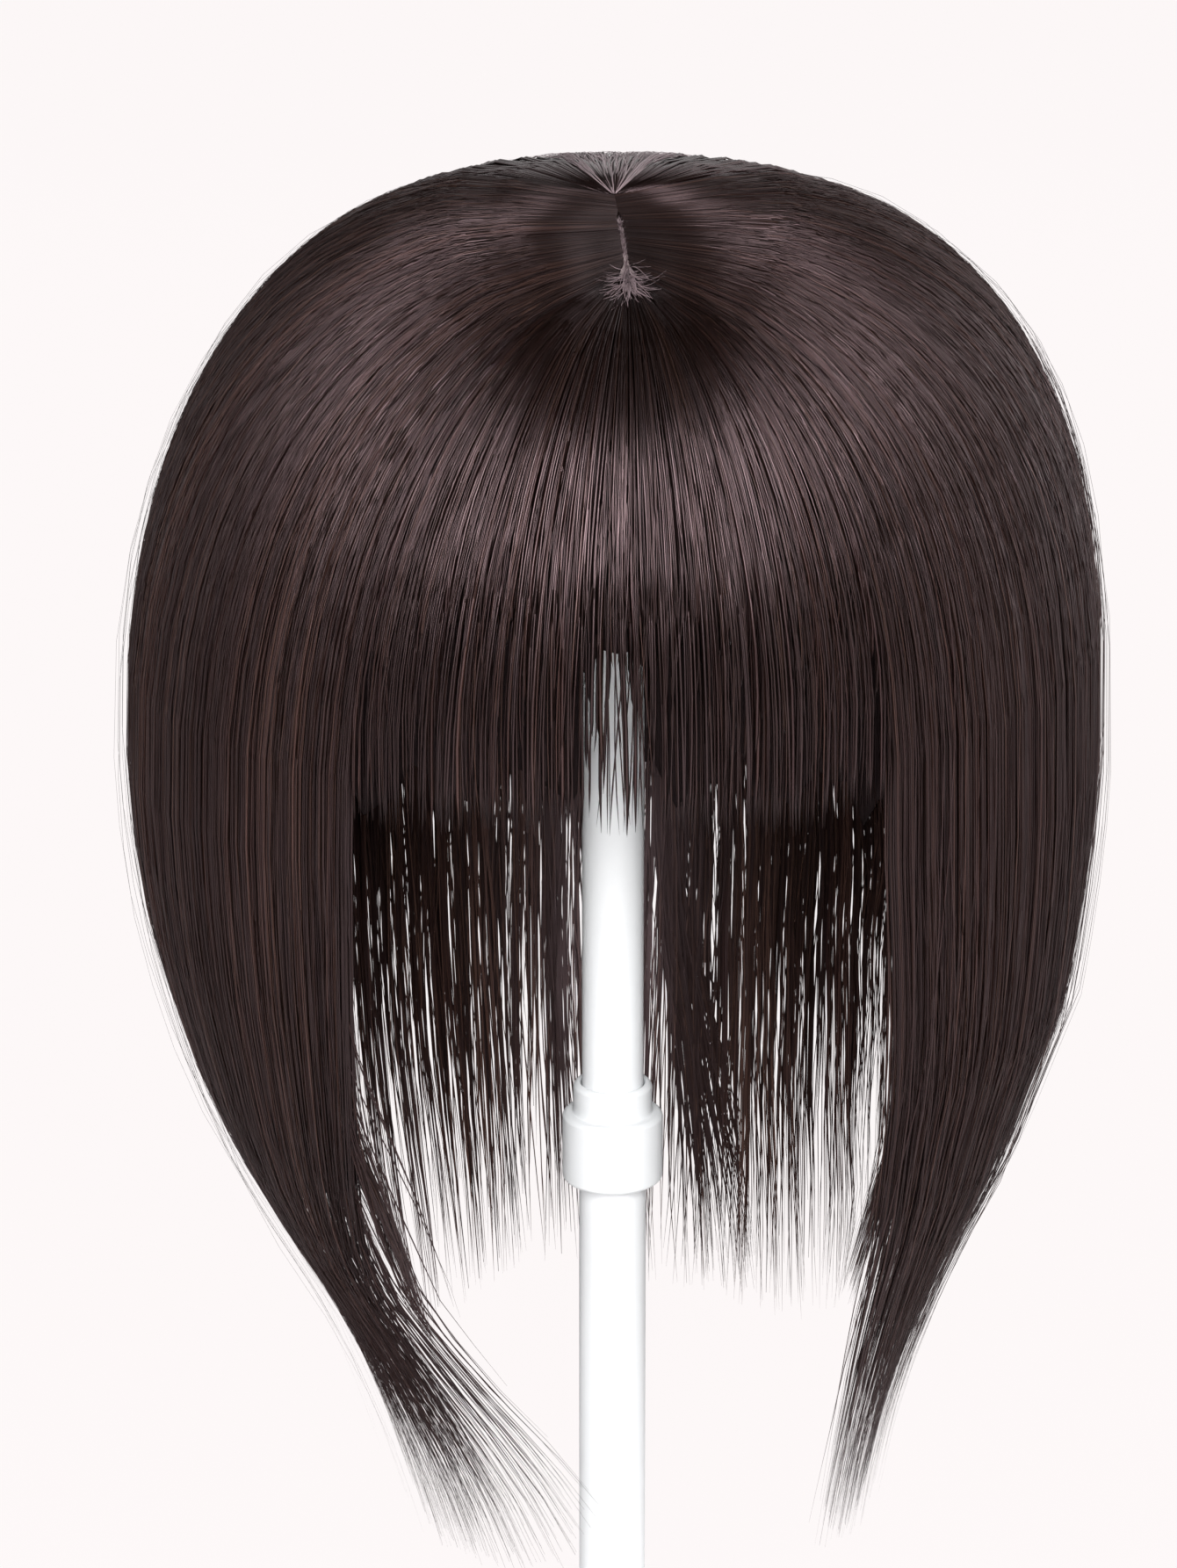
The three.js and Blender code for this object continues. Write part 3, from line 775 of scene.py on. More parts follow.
class NodeBuilder:
    """Short ways to add and join shader nodes in one tree."""

    def __init__(self, tree: bpy.types.NodeTree) -> None:
        """Keeps the tree that nodes go into."""
        self.tree = tree

    def add(self, kind: str, **values: object) -> bpy.types.Node:
        """Adds a node.

        Args:
            kind: the node's type name.
            values: properties to set on it.

        Returns:
            The new node.
        """
        node = self.tree.nodes.new(kind)
        for name, value in values.items():
            setattr(node, name, value)
        return node

    def join(self, out: bpy.types.NodeSocket, into: bpy.types.NodeSocket) -> None:
        """Links one socket to another."""
        self.tree.links.new(out, into)

    def math(self, operation: str, one: object, two: object) -> bpy.types.NodeSocket:
        """Adds a Math node.

        Args:
            operation: what it works out.
            one: first socket or number.
            two: second socket or number.

        Returns:
            Its output.
        """
        node = self.add("ShaderNodeMath", operation=operation)
        for slot, value in zip(node.inputs, (one, two)):
            if isinstance(value, bpy.types.NodeSocket):
                self.join(value, slot)
            else:
                slot.default_value = value
        return node.outputs[0]

    def mix_colour(self, share: object, low: object, high: object) -> bpy.types.NodeSocket:
        """Adds a Mix node for colours.

        Args:
            share: socket or number, 0 for low and 1 for high.
            low: first socket or colour.
            high: second socket or colour.

        Returns:
            The mixed colour.
        """
        node = self.add("ShaderNodeMix", data_type="RGBA")
        for slot, value in zip((node.inputs[0], node.inputs[6], node.inputs[7]), (share, low, high)):
            if isinstance(value, bpy.types.NodeSocket):
                self.join(value, slot)
            elif isinstance(value, tuple):
                slot.default_value = (*value, 1.0)
            else:
                slot.default_value = value
        return node.outputs[2]

    def ranged(self, value: bpy.types.NodeSocket, low: float, high: float, to_low: float, to_high: float,
               ) -> bpy.types.NodeSocket:
        """Adds a Map Range node.

        Args:
            value: the socket to map.
            low: value that gives to_low.
            high: value that gives to_high.
            to_low: first output value.
            to_high: last output value.

        Returns:
            The mapped value.
        """
        node = self.add("ShaderNodeMapRange")
        for slot, number in zip(list(node.inputs)[1:5], (low, high, to_low, to_high)):
            slot.default_value = number
        self.join(value, node.inputs[0])
        return node.outputs[0]


def streak_group() -> bpy.types.NodeTree:
    """Builds the group that gives strand streaks once: tone and height that run along the hair.

    Returns:
        The group, with inputs Across, Along, Spacing and Length, and outputs Tone and Height.
    """
    tree = bpy.data.node_groups.new("strand_streaks", "ShaderNodeTree")
    for name, value in (("Across", 0.0), ("Along", 0.0), ("Spacing", 0.0004), ("Length", 0.03)):
        socket = tree.interface.new_socket(name, in_out="INPUT", socket_type="NodeSocketFloat")
        socket.default_value = value
    for name in ("Tone", "Height"):
        tree.interface.new_socket(name, in_out="OUTPUT", socket_type="NodeSocketFloat")
    nodes = NodeBuilder(tree)
    given = nodes.add("NodeGroupInput")
    result = nodes.add("NodeGroupOutput")
    place = nodes.add("ShaderNodeCombineXYZ")
    nodes.join(nodes.math("DIVIDE", given.outputs["Across"], given.outputs["Spacing"]), place.inputs[0])
    nodes.join(nodes.math("DIVIDE", given.outputs["Along"], given.outputs["Length"]), place.inputs[1])
    fine = nodes.add("ShaderNodeTexNoise", noise_dimensions="2D")
    fine.inputs["Scale"].default_value = 1.0
    fine.inputs["Detail"].default_value = 2.0
    broad = nodes.add("ShaderNodeTexNoise", noise_dimensions="2D")
    broad.inputs["Scale"].default_value = 0.23
    broad.inputs["Detail"].default_value = 1.0
    nodes.join(place.outputs[0], fine.inputs["Vector"])
    nodes.join(place.outputs[0], broad.inputs["Vector"])
    both = nodes.math("MULTIPLY", nodes.math("ADD", fine.outputs["Fac"], broad.outputs["Fac"]), 0.5)
    nodes.join(nodes.ranged(both, 0.32, 0.68, 0.0, 1.0), result.inputs["Tone"])
    nodes.join(fine.outputs["Fac"], result.inputs["Height"])
    return tree


def speckle_group() -> bpy.types.NodeTree:
    """Builds the group that gives slow cloudiness and fine grain once.

    Returns:
        The group, with inputs Cloud Size and Grain Size, and outputs Cloud and Grain.
    """
    tree = bpy.data.node_groups.new("cloud_and_grain", "ShaderNodeTree")
    for name, value in (("Cloud Size", 0.05), ("Grain Size", 0.001)):
        socket = tree.interface.new_socket(name, in_out="INPUT", socket_type="NodeSocketFloat")
        socket.default_value = value
    for name in ("Cloud", "Grain"):
        tree.interface.new_socket(name, in_out="OUTPUT", socket_type="NodeSocketFloat")
    nodes = NodeBuilder(tree)
    given = nodes.add("NodeGroupInput")
    result = nodes.add("NodeGroupOutput")
    place = nodes.add("ShaderNodeTexCoord")
    for name, out in (("Cloud Size", "Cloud"), ("Grain Size", "Grain")):
        noise = nodes.add("ShaderNodeTexNoise")
        noise.inputs["Detail"].default_value = 3.0
        nodes.join(place.outputs["Object"], noise.inputs["Vector"])
        nodes.join(nodes.math("DIVIDE", 1.0, given.outputs[name]), noise.inputs["Scale"])
        nodes.join(noise.outputs["Fac"], result.inputs[out])
    return tree


def shader_material(name: str) -> tuple[bpy.types.Material, NodeBuilder, bpy.types.Node]:
    """Makes a material with a Principled shader.

    Args:
        name: the material's name.

    Returns:
        The material, a builder for its tree and its shader.
    """
    material = bpy.data.materials.new(name)
    material.use_nodes = True
    nodes = NodeBuilder(material.node_tree)
    return material, nodes, material.node_tree.nodes["Principled BSDF"]


@dataclass(frozen=True)
class HairFinish:
    """Dark glossy hair whose colour shifts from strand to strand.

    The weights say how much of a strand's shade comes from itself, its clump and its streaks. A shade
    under shades[0] is dark, one at shades[1] is mid, and one over shades[2] is light.
    """

    name: str = "hair_strands"
    dark: tuple[float, float, float] = (0.003, 0.0014, 0.0011)
    mid: tuple[float, float, float] = (0.012, 0.006, 0.0045)
    light: tuple[float, float, float] = (0.070, 0.037, 0.027)
    warm: tuple[float, float, float] = (0.026, 0.0085, 0.0075)
    warm_share: float = 0.35
    warm_from: float = 0.6
    strand_weight: float = 0.45
    clump_weight: float = 0.35
    streak_weight: float = 0.3
    shades: tuple[float, float, float] = (0.1, 0.75, 1.1)
    root_length: float = 0.06
    # Painted shade: how far the colour darkens towards the dark tone at the roots, where the strands turn
    # away from the lights.
    root_painted_shade: float = 0.85
    root_smooth: float = 0.7
    roughness: tuple[float, float] = (0.26, 0.38)
    specular: float = 0.85
    sheen_tint: tuple[float, float, float] = (1.0, 0.71, 0.75)
    streak_spacing: float = 0.00035
    streak_length: float = 0.045
    bump: float = 0.2
    bump_distance: float = 0.0002

    def make(self, streaks: bpy.types.NodeTree) -> bpy.types.Material:
        """Builds the material.

        Args:
            streaks: the group of strand streaks.

        Returns:
            The material.
        """
        material, nodes, shader = shader_material(self.name)
        read = {}
        for name in ("tone", "clump_tone", "along", "across"):
            node = nodes.add("ShaderNodeAttribute", attribute_name=name)
            read[name] = node.outputs["Fac"]
        group = nodes.add("ShaderNodeGroup", node_tree=streaks)
        nodes.join(read["across"], group.inputs["Across"])
        nodes.join(read["along"], group.inputs["Along"])
        group.inputs["Spacing"].default_value = self.streak_spacing
        group.inputs["Length"].default_value = self.streak_length
        shade = nodes.math("ADD", nodes.math("MULTIPLY", read["tone"], self.strand_weight),
                           nodes.math("MULTIPLY", read["clump_tone"], self.clump_weight))
        streak = nodes.math("MULTIPLY", group.outputs["Tone"], self.streak_weight)
        shade = nodes.math("ADD", shade, streak)
        darkest, middling, lightest = self.shades
        low = nodes.mix_colour(nodes.ranged(shade, darkest, middling, 0.0, 1.0), self.dark, self.mid)
        colour = nodes.mix_colour(nodes.ranged(shade, middling, lightest, 0.0, 1.0), low, self.light)
        warmth = nodes.ranged(read["clump_tone"], self.warm_from, 1.0, 0.0, self.warm_share)
        tinted = nodes.mix_colour(warmth, colour, self.warm)
        # Painted shade: near the roots the colour is darkened towards the dark tone, where the strands turn
        # away from the lights.
        painted_shade_near_root = nodes.ranged(read["along"], 0.0, self.root_length, self.root_painted_shade, 0.0)
        nodes.join(nodes.mix_colour(painted_shade_near_root, tinted, self.dark), shader.inputs["Base Color"])
        rough = nodes.ranged(group.outputs["Tone"], 0.0, 1.0, self.roughness[1], self.roughness[0])
        smoother = nodes.ranged(read["along"], self.root_length / 3.0, self.root_length,
                                self.root_smooth, 1.0)
        nodes.join(nodes.math("MULTIPLY", rough, smoother), shader.inputs["Roughness"])
        shader.inputs["Specular IOR Level"].default_value = self.specular
        shader.inputs["Specular Tint"].default_value = (*self.sheen_tint, 1.0)
        bump = nodes.add("ShaderNodeBump")
        bump.inputs["Strength"].default_value = self.bump
        bump.inputs["Distance"].default_value = self.bump_distance
        nodes.join(group.outputs["Height"], bump.inputs["Height"])
        nodes.join(bump.outputs["Normal"], shader.inputs["Normal"])
        return material


@dataclass(frozen=True)
class PlainFinish:
    """An even finish with slow cloudiness and fine grain.

    noise_ends are the noise values that give the two ends of the colour and of the roughness.
    """

    name: str
    low: tuple[float, float, float]
    high: tuple[float, float, float]
    roughness: tuple[float, float]
    metallic: float = 0.0
    cloud_size: float = 0.05
    grain_size: float = 0.001
    bump: float = 0.1
    bump_distance: float = 0.0002
    noise_ends: tuple[float, float] = (0.3, 0.7)

    def make(self, speckle: bpy.types.NodeTree) -> bpy.types.Material:
        """Builds the material.

        Args:
            speckle: the group of cloudiness and grain.

        Returns:
            The material.
        """
        material, nodes, shader = shader_material(self.name)
        group = nodes.add("ShaderNodeGroup", node_tree=speckle)
        group.inputs["Cloud Size"].default_value = self.cloud_size
        group.inputs["Grain Size"].default_value = self.grain_size
        cloud = nodes.ranged(group.outputs["Cloud"], *self.noise_ends, 0.0, 1.0)
        nodes.join(nodes.mix_colour(cloud, self.low, self.high), shader.inputs["Base Color"])
        nodes.join(nodes.ranged(group.outputs["Grain"], *self.noise_ends, *self.roughness),
                   shader.inputs["Roughness"])
        shader.inputs["Metallic"].default_value = self.metallic
        bump = nodes.add("ShaderNodeBump")
        bump.inputs["Strength"].default_value = self.bump
        bump.inputs["Distance"].default_value = self.bump_distance
        nodes.join(group.outputs["Grain"], bump.inputs["Height"])
        nodes.join(bump.outputs["Normal"], shader.inputs["Normal"])
        return material


@dataclass(frozen=True)
class FloorFinish:
    """A pale studio floor, which looks almost evenly lit to the camera."""

    name: str = "pale_floor"
    low: tuple[float, float, float] = (0.62, 0.60, 0.60)
    high: tuple[float, float, float] = (0.66, 0.64, 0.64)
    even: tuple[float, float, float] = (1.0, 0.955, 0.955)
    even_share: float = 0.97

    def make(self, speckle: bpy.types.NodeTree) -> bpy.types.Material:
        """Builds the material.

        Args:
            speckle: the group of cloudiness and grain.

        Returns:
            The material.
        """
        material = PlainFinish(self.name, self.low, self.high, (0.75, 0.85), cloud_size=0.5, grain_size=0.003,
                               bump=0.05).make(speckle)
        nodes = NodeBuilder(material.node_tree)
        shader = material.node_tree.nodes["Principled BSDF"]
        path = nodes.add("ShaderNodeLightPath")
        glow = nodes.add("ShaderNodeEmission")
        glow.inputs["Color"].default_value = (*self.even, 1.0)
        both = nodes.add("ShaderNodeMixShader")
        nodes.join(nodes.math("MULTIPLY", path.outputs["Is Camera Ray"], self.even_share), both.inputs[0])
        nodes.join(shader.outputs[0], both.inputs[1])
        nodes.join(glow.outputs[0], both.inputs[2])
        nodes.join(both.outputs[0], material.node_tree.nodes["Material Output"].inputs["Surface"])
        return material


@dataclass
class Wardrobe:
    """Every finish, built once and handed out by name."""

    hair: bpy.types.Material = field(init=False)
    side_hair: bpy.types.Material = field(init=False)
    loose_hair: bpy.types.Material = field(init=False)
    roots: bpy.types.Material = field(init=False)
    under_hair: bpy.types.Material = field(init=False)
    scalp: bpy.types.Material = field(init=False)
    clip: bpy.types.Material = field(init=False)
    plastic: bpy.types.Material = field(init=False)
    floor: bpy.types.Material = field(init=False)

    def __post_init__(self) -> None:
        """Builds the groups and the finishes."""
        streaks, speckle = streak_group(), speckle_group()
        self.hair = HairFinish().make(streaks)
        # The sides take less painted shade at their roots than the fringe and the back, and rougher roots.
        self.side_hair = HairFinish("side_hair", root_painted_shade=0.25, root_smooth=1.15).make(streaks)
        self.under_hair = HairFinish("hair_underneath", dark=(0.003, 0.0014, 0.0012),
                                     mid=(0.008, 0.004, 0.0035), light=(0.016, 0.009, 0.008),
                                     warm_share=0.0, roughness=(0.5, 0.6), specular=0.3,
                                     bump=0.8).make(streaks)
        self.loose_hair = HairFinish("loose_hairs", roughness=(0.6, 0.7), specular=0.0,
                                     bump=0.1).make(streaks)
        # Pale root colour: the parting roots' own colour, and painted sheen on the pale strands behind the
        # parting.
        self.roots = HairFinish("hair_roots_and_painted_sheen", dark=(0.12, 0.085, 0.092), mid=(0.30, 0.225, 0.24),
                                light=(0.55, 0.44, 0.47), warm_share=0.0, root_painted_shade=0.0,
                                root_smooth=1.0, bump=0.1).make(streaks)
        self.scalp = PlainFinish("scalp_base", (0.36, 0.28, 0.28), (0.50, 0.40, 0.40), (0.55, 0.75),
                                 cloud_size=0.01, grain_size=0.0008, bump=0.5).make(speckle)
        self.clip = PlainFinish("clip_metal", (0.03, 0.024, 0.024), (0.05, 0.04, 0.04), (0.25, 0.4),
                                metallic=0.6, cloud_size=0.01, grain_size=0.0006).make(speckle)
        self.plastic = PlainFinish("stand_plastic", (0.86, 0.875, 0.89), (0.90, 0.91, 0.92), (0.38, 0.5),
                                   cloud_size=0.06, grain_size=0.0007, bump=0.12).make(speckle)
        self.floor = FloorFinish().make(speckle)


def settle(piece: bpy.types.Object, material: bpy.types.Material) -> bpy.types.Object:
    """Gives a piece its finish and lets it ride on the model's one body.

    Args:
        piece: the piece.
        material: its finish.

    Returns:
        The piece.
    """
    piece.data.materials.append(material)
    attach(piece, "root")
    log.info("%s: %d faces", piece.name, len(piece.data.polygons))
    return piece


@dataclass
class HairSection:
    """One section of hair: a thin under-layer and the strands over it.

    The under-layer lies from under_from to under_to across the section and ends under_end below the
    crown, with an edge as ragged as under_ragged says. under_spread is its width in half-widths of the
    hair, which sets how broad its streaks are.
    """

    form: HairForm
    section: Section
    node: str
    styles: tuple[StrandStyle, ...]
    under_end: float
    under_from: float = 0.004
    under_to: float = 0.996
    under_ragged: tuple[float, float] = (0.03, 0.02)
    under_spread: float = 1.5
    under_lift: float = 0.12
    under_wall: float = 0.1
    under_tone: float = 0.4
    rows: int = 48
    crown_steps: int = 20
    hang_steps: int = 10

    def build(self, wardrobe: Wardrobe) -> None:
        """Builds and dresses the section's pieces and hides its CAD node.

        Args:
            wardrobe: the finishes.
        """
        grower = StrandGrower(self.form, self.section)
        for style in self.styles:
            mesher = StrandMesher(f"{self.node}_{style.label}", style.flatness)
            shiny = wardrobe.side_hair if self.section in (Section.LEFT, Section.RIGHT) else wardrobe.hair
            finish = wardrobe.loose_hair if style.matt else shiny
            settle(mesher.build(grower.grow(style)), finish)
        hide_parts(self.node)
        settle(self.under_layer(grower), wardrobe.under_hair)

    def under_layer(self, grower: StrandGrower) -> bpy.types.Object:
        """A thin closed sheet near the hair's inner side, which keeps light from showing through.

        Args:
            grower: works out the lines of the section.

        Returns:
            The new object.
        """
        start = np.linspace(self.under_from, self.under_to, self.rows)
        slow, fast = self.under_ragged
        ragged = 1.0 + slow * np.sin(start * 61.0) + fast * np.sin(start * 143.0)
        style = StrandStyle("under", self.rows, (0.0, 0.0), crown_steps=self.crown_steps,
                            hang_steps=self.hang_steps)
        still = np.zeros((self.rows, 1))
        steps = self.crown_steps + grower.steps_down(style)
        across = np.repeat(start[:, None], steps + 1, axis=1)
        ends = self.under_end * ragged
        lift = np.full((self.rows, 1), self.under_lift)
        outer, along = grower.lines(start, across, ends, (lift + self.under_wall, still, still), style)
        inner, _ = grower.lines(start, across, ends, (lift, still, still), style)
        points = np.concatenate([outer.reshape(-1, 3), inner.reshape(-1, 3)])
        piece = object_from_arrays(f"{self.node}_under", points, wall_faces(*outer.shape[:2]))
        wide = np.repeat(start[:, None] * self.form.half_width * self.under_spread, steps + 1, axis=1)
        even = np.full_like(along, self.under_tone)
        for name, values in (("along", along), ("across", wide), ("tone", even), ("clump_tone", even)):
            point_values(piece, name, np.concatenate([values.ravel(), values.ravel()]))
        return piece


@dataclass(frozen=True)
class PartingRoots:
    """The short pale hairs that come up through the base along the parting and at its front end.

    line_reach is how far back along the parting they go. Turns are angles from straight forward, a
    middle and a spread. Depths are under the hair's outer form.
    """

    form: HairForm
    count: int = 300
    whorl_share: float = 0.5
    whorl_length: tuple[float, float] = (0.003, 0.0085)
    whorl_spread: float = 0.0016
    whorl_turn: tuple[float, float] = (0.1, 0.36)
    line_turn: tuple[float, float] = (1.35, 0.3)
    line_spread: tuple[float, float] = (0.0003, 0.0008)
    line_reach: float = 0.62
    line_length: tuple[float, float] = (0.0004, 0.0009)
    width: tuple[float, float] = (0.00014, 0.00026)
    root_depth: float = 0.0042
    whorl_depth: tuple[float, float] = (0.0014, 0.0022)
    line_depth: float = 0.0027
    bend: float = 0.5
    steps: int = 5
    seed: int = 51

    def build(self, wardrobe: Wardrobe) -> bpy.types.Object:
        """Builds and dresses the roots.

        Args:
            wardrobe: the finishes.

        Returns:
            The new object.
        """
        rng = np.random.default_rng(self.seed)
        front, back = self.form.parting_front, self.form.parting_back
        at_whorl = rng.random(self.count) < self.whorl_share
        line_end = blend(front[1], back[1], self.line_reach)
        y = np.where(at_whorl, front[1], rng.uniform(front[1], line_end, self.count))
        x = self.form.parting_x(y) + rng.normal(0.0, self.line_spread[0], self.count)
        y = y + rng.normal(0.0, np.where(at_whorl, self.whorl_spread, self.line_spread[1]), self.count)
        side = rng.choice([-1.0, 1.0], self.count)
        turn = np.where(at_whorl, rng.normal(*self.whorl_turn, self.count),
                        side * rng.normal(*self.line_turn, self.count))
        low = np.where(at_whorl, self.whorl_length[0], self.line_length[0])
        high = np.where(at_whorl, self.whorl_length[1], self.line_length[1])
        length = blend(low, high, rng.random(self.count))[:, None]
        way = np.linspace(0.0, 1.0, self.steps)[None, :]
        bend = rng.normal(0.0, self.bend, (self.count, 1)) * way
        plan_x = x[:, None] + np.sin(turn[:, None] + bend) * length * way
        plan_y = y[:, None] - np.cos(turn[:, None] + bend) * length * way
        top = np.where(at_whorl, rng.uniform(*self.whorl_depth, self.count), self.line_depth)[:, None]
        lift = blend(self.root_depth, top, np.sqrt(way))
        share_x, share_y = plan_x / self.form.half_width, plan_y / self.form.depth(plan_y)
        points = self.form.crown_point(share_x, share_y, lift)
        up = np.zeros_like(points)
        up[..., 2] = 1.0
        width = rng.uniform(self.width[0], self.width[1], (self.count, 1)) * (1.0 - 0.7 * way)
        tone = rng.random(self.count)
        paths = StrandPaths(points, up, length * way, tone, tone, width)
        return settle(StrandMesher("parting_roots", 0.4).build(paths), wardrobe.roots)


def soften(piece: bpy.types.Object, width: float) -> None:
    """Rounds a piece's sharp edges and shades it smoothly.

    Args:
        piece: the piece.
        width: width of the rounding.
    """
    bevel = piece.modifiers.new("bevel", "BEVEL")
    bevel.width = width
    bevel.segments = 2
    bevel.limit_method = "ANGLE"
    bevel.angle_limit = math.radians(40.0)
    bevel.harden_normals = True


@dataclass(frozen=True)
class DomeLayers:
    """A domed oval wall that follows the crown."""

    form: HairForm
    half_width: float
    half_depth: float
    sides: int = 96
    rings: int = 24

    def place(self, share: np.ndarray) -> tuple[np.ndarray, np.ndarray]:
        """Plan places of rings at shares of the way out.

        Args:
            share: shares of the way out.

        Returns:
            Sideways and forward places, a row for each ring.
        """
        turn = np.linspace(0.0, 2.0 * math.pi, self.sides, endpoint=False)[None, :]
        out = share[:, None]
        return out * self.half_width * np.sin(turn), out * self.half_depth * np.cos(turn)

    def build(self, name: str, outer: float, inner: float) -> bpy.types.Object:
        """Builds the wall between two depths under the hair's outer form.

        Args:
            name: the piece's name.
            outer: depth of its outer side.
            inner: depth of its inner side.

        Returns:
            The new object.
        """
        shares = np.arange(1, self.rings + 1) / self.rings
        x, y = self.place(shares)
        top = self.form.layer_points(x, y, outer)
        bottom = self.form.layer_points(x, y, inner)[::-1]
        middle = [self.form.layer_points(np.zeros(1), np.zeros(1), under) for under in (outer, inner)]
        piece = closed_rings(name, middle[0], np.concatenate([top, bottom]), middle[1])
        soften(piece, min(0.0005, (inner - outer) / 4.0))
        return piece


def closed_rings(name: str, first: np.ndarray, rings: np.ndarray, last: np.ndarray) -> bpy.types.Object:
    """Joins rings of points, from one end point to another, into a closed piece.

    Args:
        name: the piece's name.
        first: the point before the first ring.
        rings: points, a row for each ring.
        last: the point after the last ring.

    Returns:
        The new object.
    """
    count, sides = rings.shape[:2]
    at = np.arange(count * sides).reshape(count, sides) + 1
    beside = np.roll(at, -1, axis=1)
    one = np.stack([at[:-1], at[1:], beside[1:]], axis=-1).reshape(-1, 3)
    two = np.stack([at[:-1], beside[1:], beside[:-1]], axis=-1).reshape(-1, 3)
    start = np.stack([np.zeros(sides, dtype=int), at[0], beside[0]], axis=-1)
    end = np.stack([np.full(sides, count * sides + 1), beside[-1], at[-1]], axis=-1)
    points = np.concatenate([first.reshape(1, 3), rings.reshape(-1, 3), last.reshape(1, 3)])
    return object_from_arrays(name, points, np.concatenate([start, one, two, end]))


def turned(name: str, profile: tuple[tuple[float, float], ...], sides: int = 96) -> bpy.types.Object:
    """Turns a profile round the upright axis; its first and last points lie on the axis.

    Args:
        name: the piece's name.
        profile: radius and height of each point.
        sides: how many sides go round.

    Returns:
        The new object.
    """
    turn = np.linspace(0.0, 2.0 * math.pi, sides, endpoint=False)[None, :]
    radius = np.array([point[0] for point in profile[1:-1]])[:, None]
    high = np.array([point[1] for point in profile[1:-1]])[:, None]
    rings = np.stack([radius * np.cos(turn), radius * np.sin(turn), high + turn * 0.0], axis=-1)
    ends = [np.array([0.0, 0.0, profile[at][1]]) for at in (0, -1)]
    return closed_rings(name, ends[0], rings, ends[1])


@dataclass
class Topper:
    """The topper: its hair, its base and its clips."""

    form: HairForm
    base_size: tuple[float, float] = (0.057, 0.061)
    base_under: float = 0.00455
    base_wall: float = 0.0015
    clip_size: tuple[float, float] = (0.028, 0.009)
    clip_under: tuple[float, float] = (0.0066, 0.0082)
    clip_inset: float = 0.013
    clip_end: float = 0.35
    clip_power: float = 3.0
    clip_grid: tuple[int, int] = (33, 7)

    def sections(self) -> list[HairSection]:
        """Lists the sections of hair, each with its styles of strands.

        Returns:
            The sections.
        """
        form = self.form
        locks = {"count": 1340, "width": (0.5 * MM, 1.15 * MM), "clumps": 84, "pull": 0.75,
                 "short_share": 1.0, "shortest": 0.52, "shorter": 1.15,
                 "crown_steps": 13, "hang_steps": 8}
        fine = {"count": 560, "width": (0.22 * MM, 0.36 * MM), "clumps": 90, "pull": 0.5,
                "layer": (0.9, 1.12), "stray": 0.012, "short_share": 0.8, "tone": (0.2, 1.25)}
        loose = {"count": 60, "width": (0.13 * MM, 0.2 * MM), "clumps": 40, "pull": 0.2,
                 "layer": (1.0, 1.1), "stray": 0.03, "flare": 0.0035, "short_share": 0.6,
                 "tone": (0.0, 0.5), "matt": True}
        wisps = {"starts": 0.6, "crown_steps": 5, "hang_steps": 12}
        left = (
            StrandStyle("locks", seed=11, **locks),
            StrandStyle("fine", seed=12, **fine),
            StrandStyle("loose", seed=13, **loose),
            StrandStyle("wisps", 190, (0.3 * MM, 0.55 * MM), clumps=14, pull=0.75, across=(0.0, 0.5),
                        lean=-0.36, reach_over=0.3, short_share=0.4, shortest=0.8, layer=(0.3, 0.9), seed=14,
                        **wisps),
        )
        right = (
            StrandStyle("locks", seed=21, **{**locks, "shortest": 0.6, "shorter": 0.9, "short_share": 0.93}),
            StrandStyle("fine", seed=22, **fine),
            StrandStyle("loose", seed=23, **loose),
            StrandStyle("wisps", 200, (0.25 * MM, 0.5 * MM), clumps=20, pull=0.5, across=(0.0, 0.9),
                        stray=0.09, reach_over=0.15, short_share=0.2, shortest=0.9, layer=(0.2, 1.1),
                        flare=0.003, seed=24, **wisps),
        )
        back = (
            StrandStyle("locks", 560, (0.6 * MM, 1.3 * MM), clumps=60, pull=0.2, short_share=1.0,
                        shortest=0.62, shorter=1.6, crown_steps=9, hang_steps=8, taper_from=0.82,
                        seed=31),
            StrandStyle("fine", 1800, (0.2 * MM, 0.34 * MM), clumps=120, pull=0.5, short_share=0.85,
                        shortest=0.64, stray=0.011, wave=0.006, layer=(0.1, 0.75), starts=0.75, crown_steps=3,
                        hang_steps=9, taper_from=0.85, tone=(0.5, 1.5), seed=32),
            StrandStyle("lock", 90, (0.35 * MM, 0.7 * MM), clumps=3, pull=0.35, across=(0.445, 0.47),
                        starts=0.75, lean=-0.1, short_share=0.6, shortest=0.88, layer=(0.2, 0.8),
                        crown_steps=3, hang_steps=14, seed=33),
        )
        fringe = (
            StrandStyle("locks", 1050, (0.45 * MM, 0.9 * MM), clumps=80, pull=0.3, short_share=0.88,
                        shortest=0.61, shorter=8.0, tip_curl=0.002, crown_steps=14, taper_from=0.95, seed=41),
            StrandStyle("fine", 800, (0.22 * MM, 0.36 * MM), clumps=90, pull=0.2, short_share=0.74,
                        shortest=0.62, shorter=6.0, layer=(0.3, 1.1), stray=0.016, tip_curl=0.003,
                        crown_steps=14, taper_from=0.95, tone=(0.1, 1.2), seed=42),
        )
        return [
            HairSection(form, Section.LEFT, "hair_left", left, under_end=0.205, under_from=0.03),
            HairSection(form, Section.RIGHT, "hair_right", right, under_end=0.205, under_from=0.03),
            HairSection(form, Section.BACK, "hair_back", back, under_end=0.162),
            HairSection(form, Section.FRINGE, "fringe", fringe, under_end=0.078),
        ]

    def build(self, wardrobe: Wardrobe) -> None:
        """Builds every piece of the topper.

        Args:
            wardrobe: the finishes.
        """
        for section in self.sections():
            section.build(wardrobe)
        PartingRoots(self.form).build(wardrobe)
        self.painted_crown_sheen(wardrobe)
        self.base(wardrobe)
        for turn, node in enumerate(("clip_front", "clip_right", "clip_back", "clip_left")):
            self.clip(node, turn * math.pi / 2.0, wardrobe)

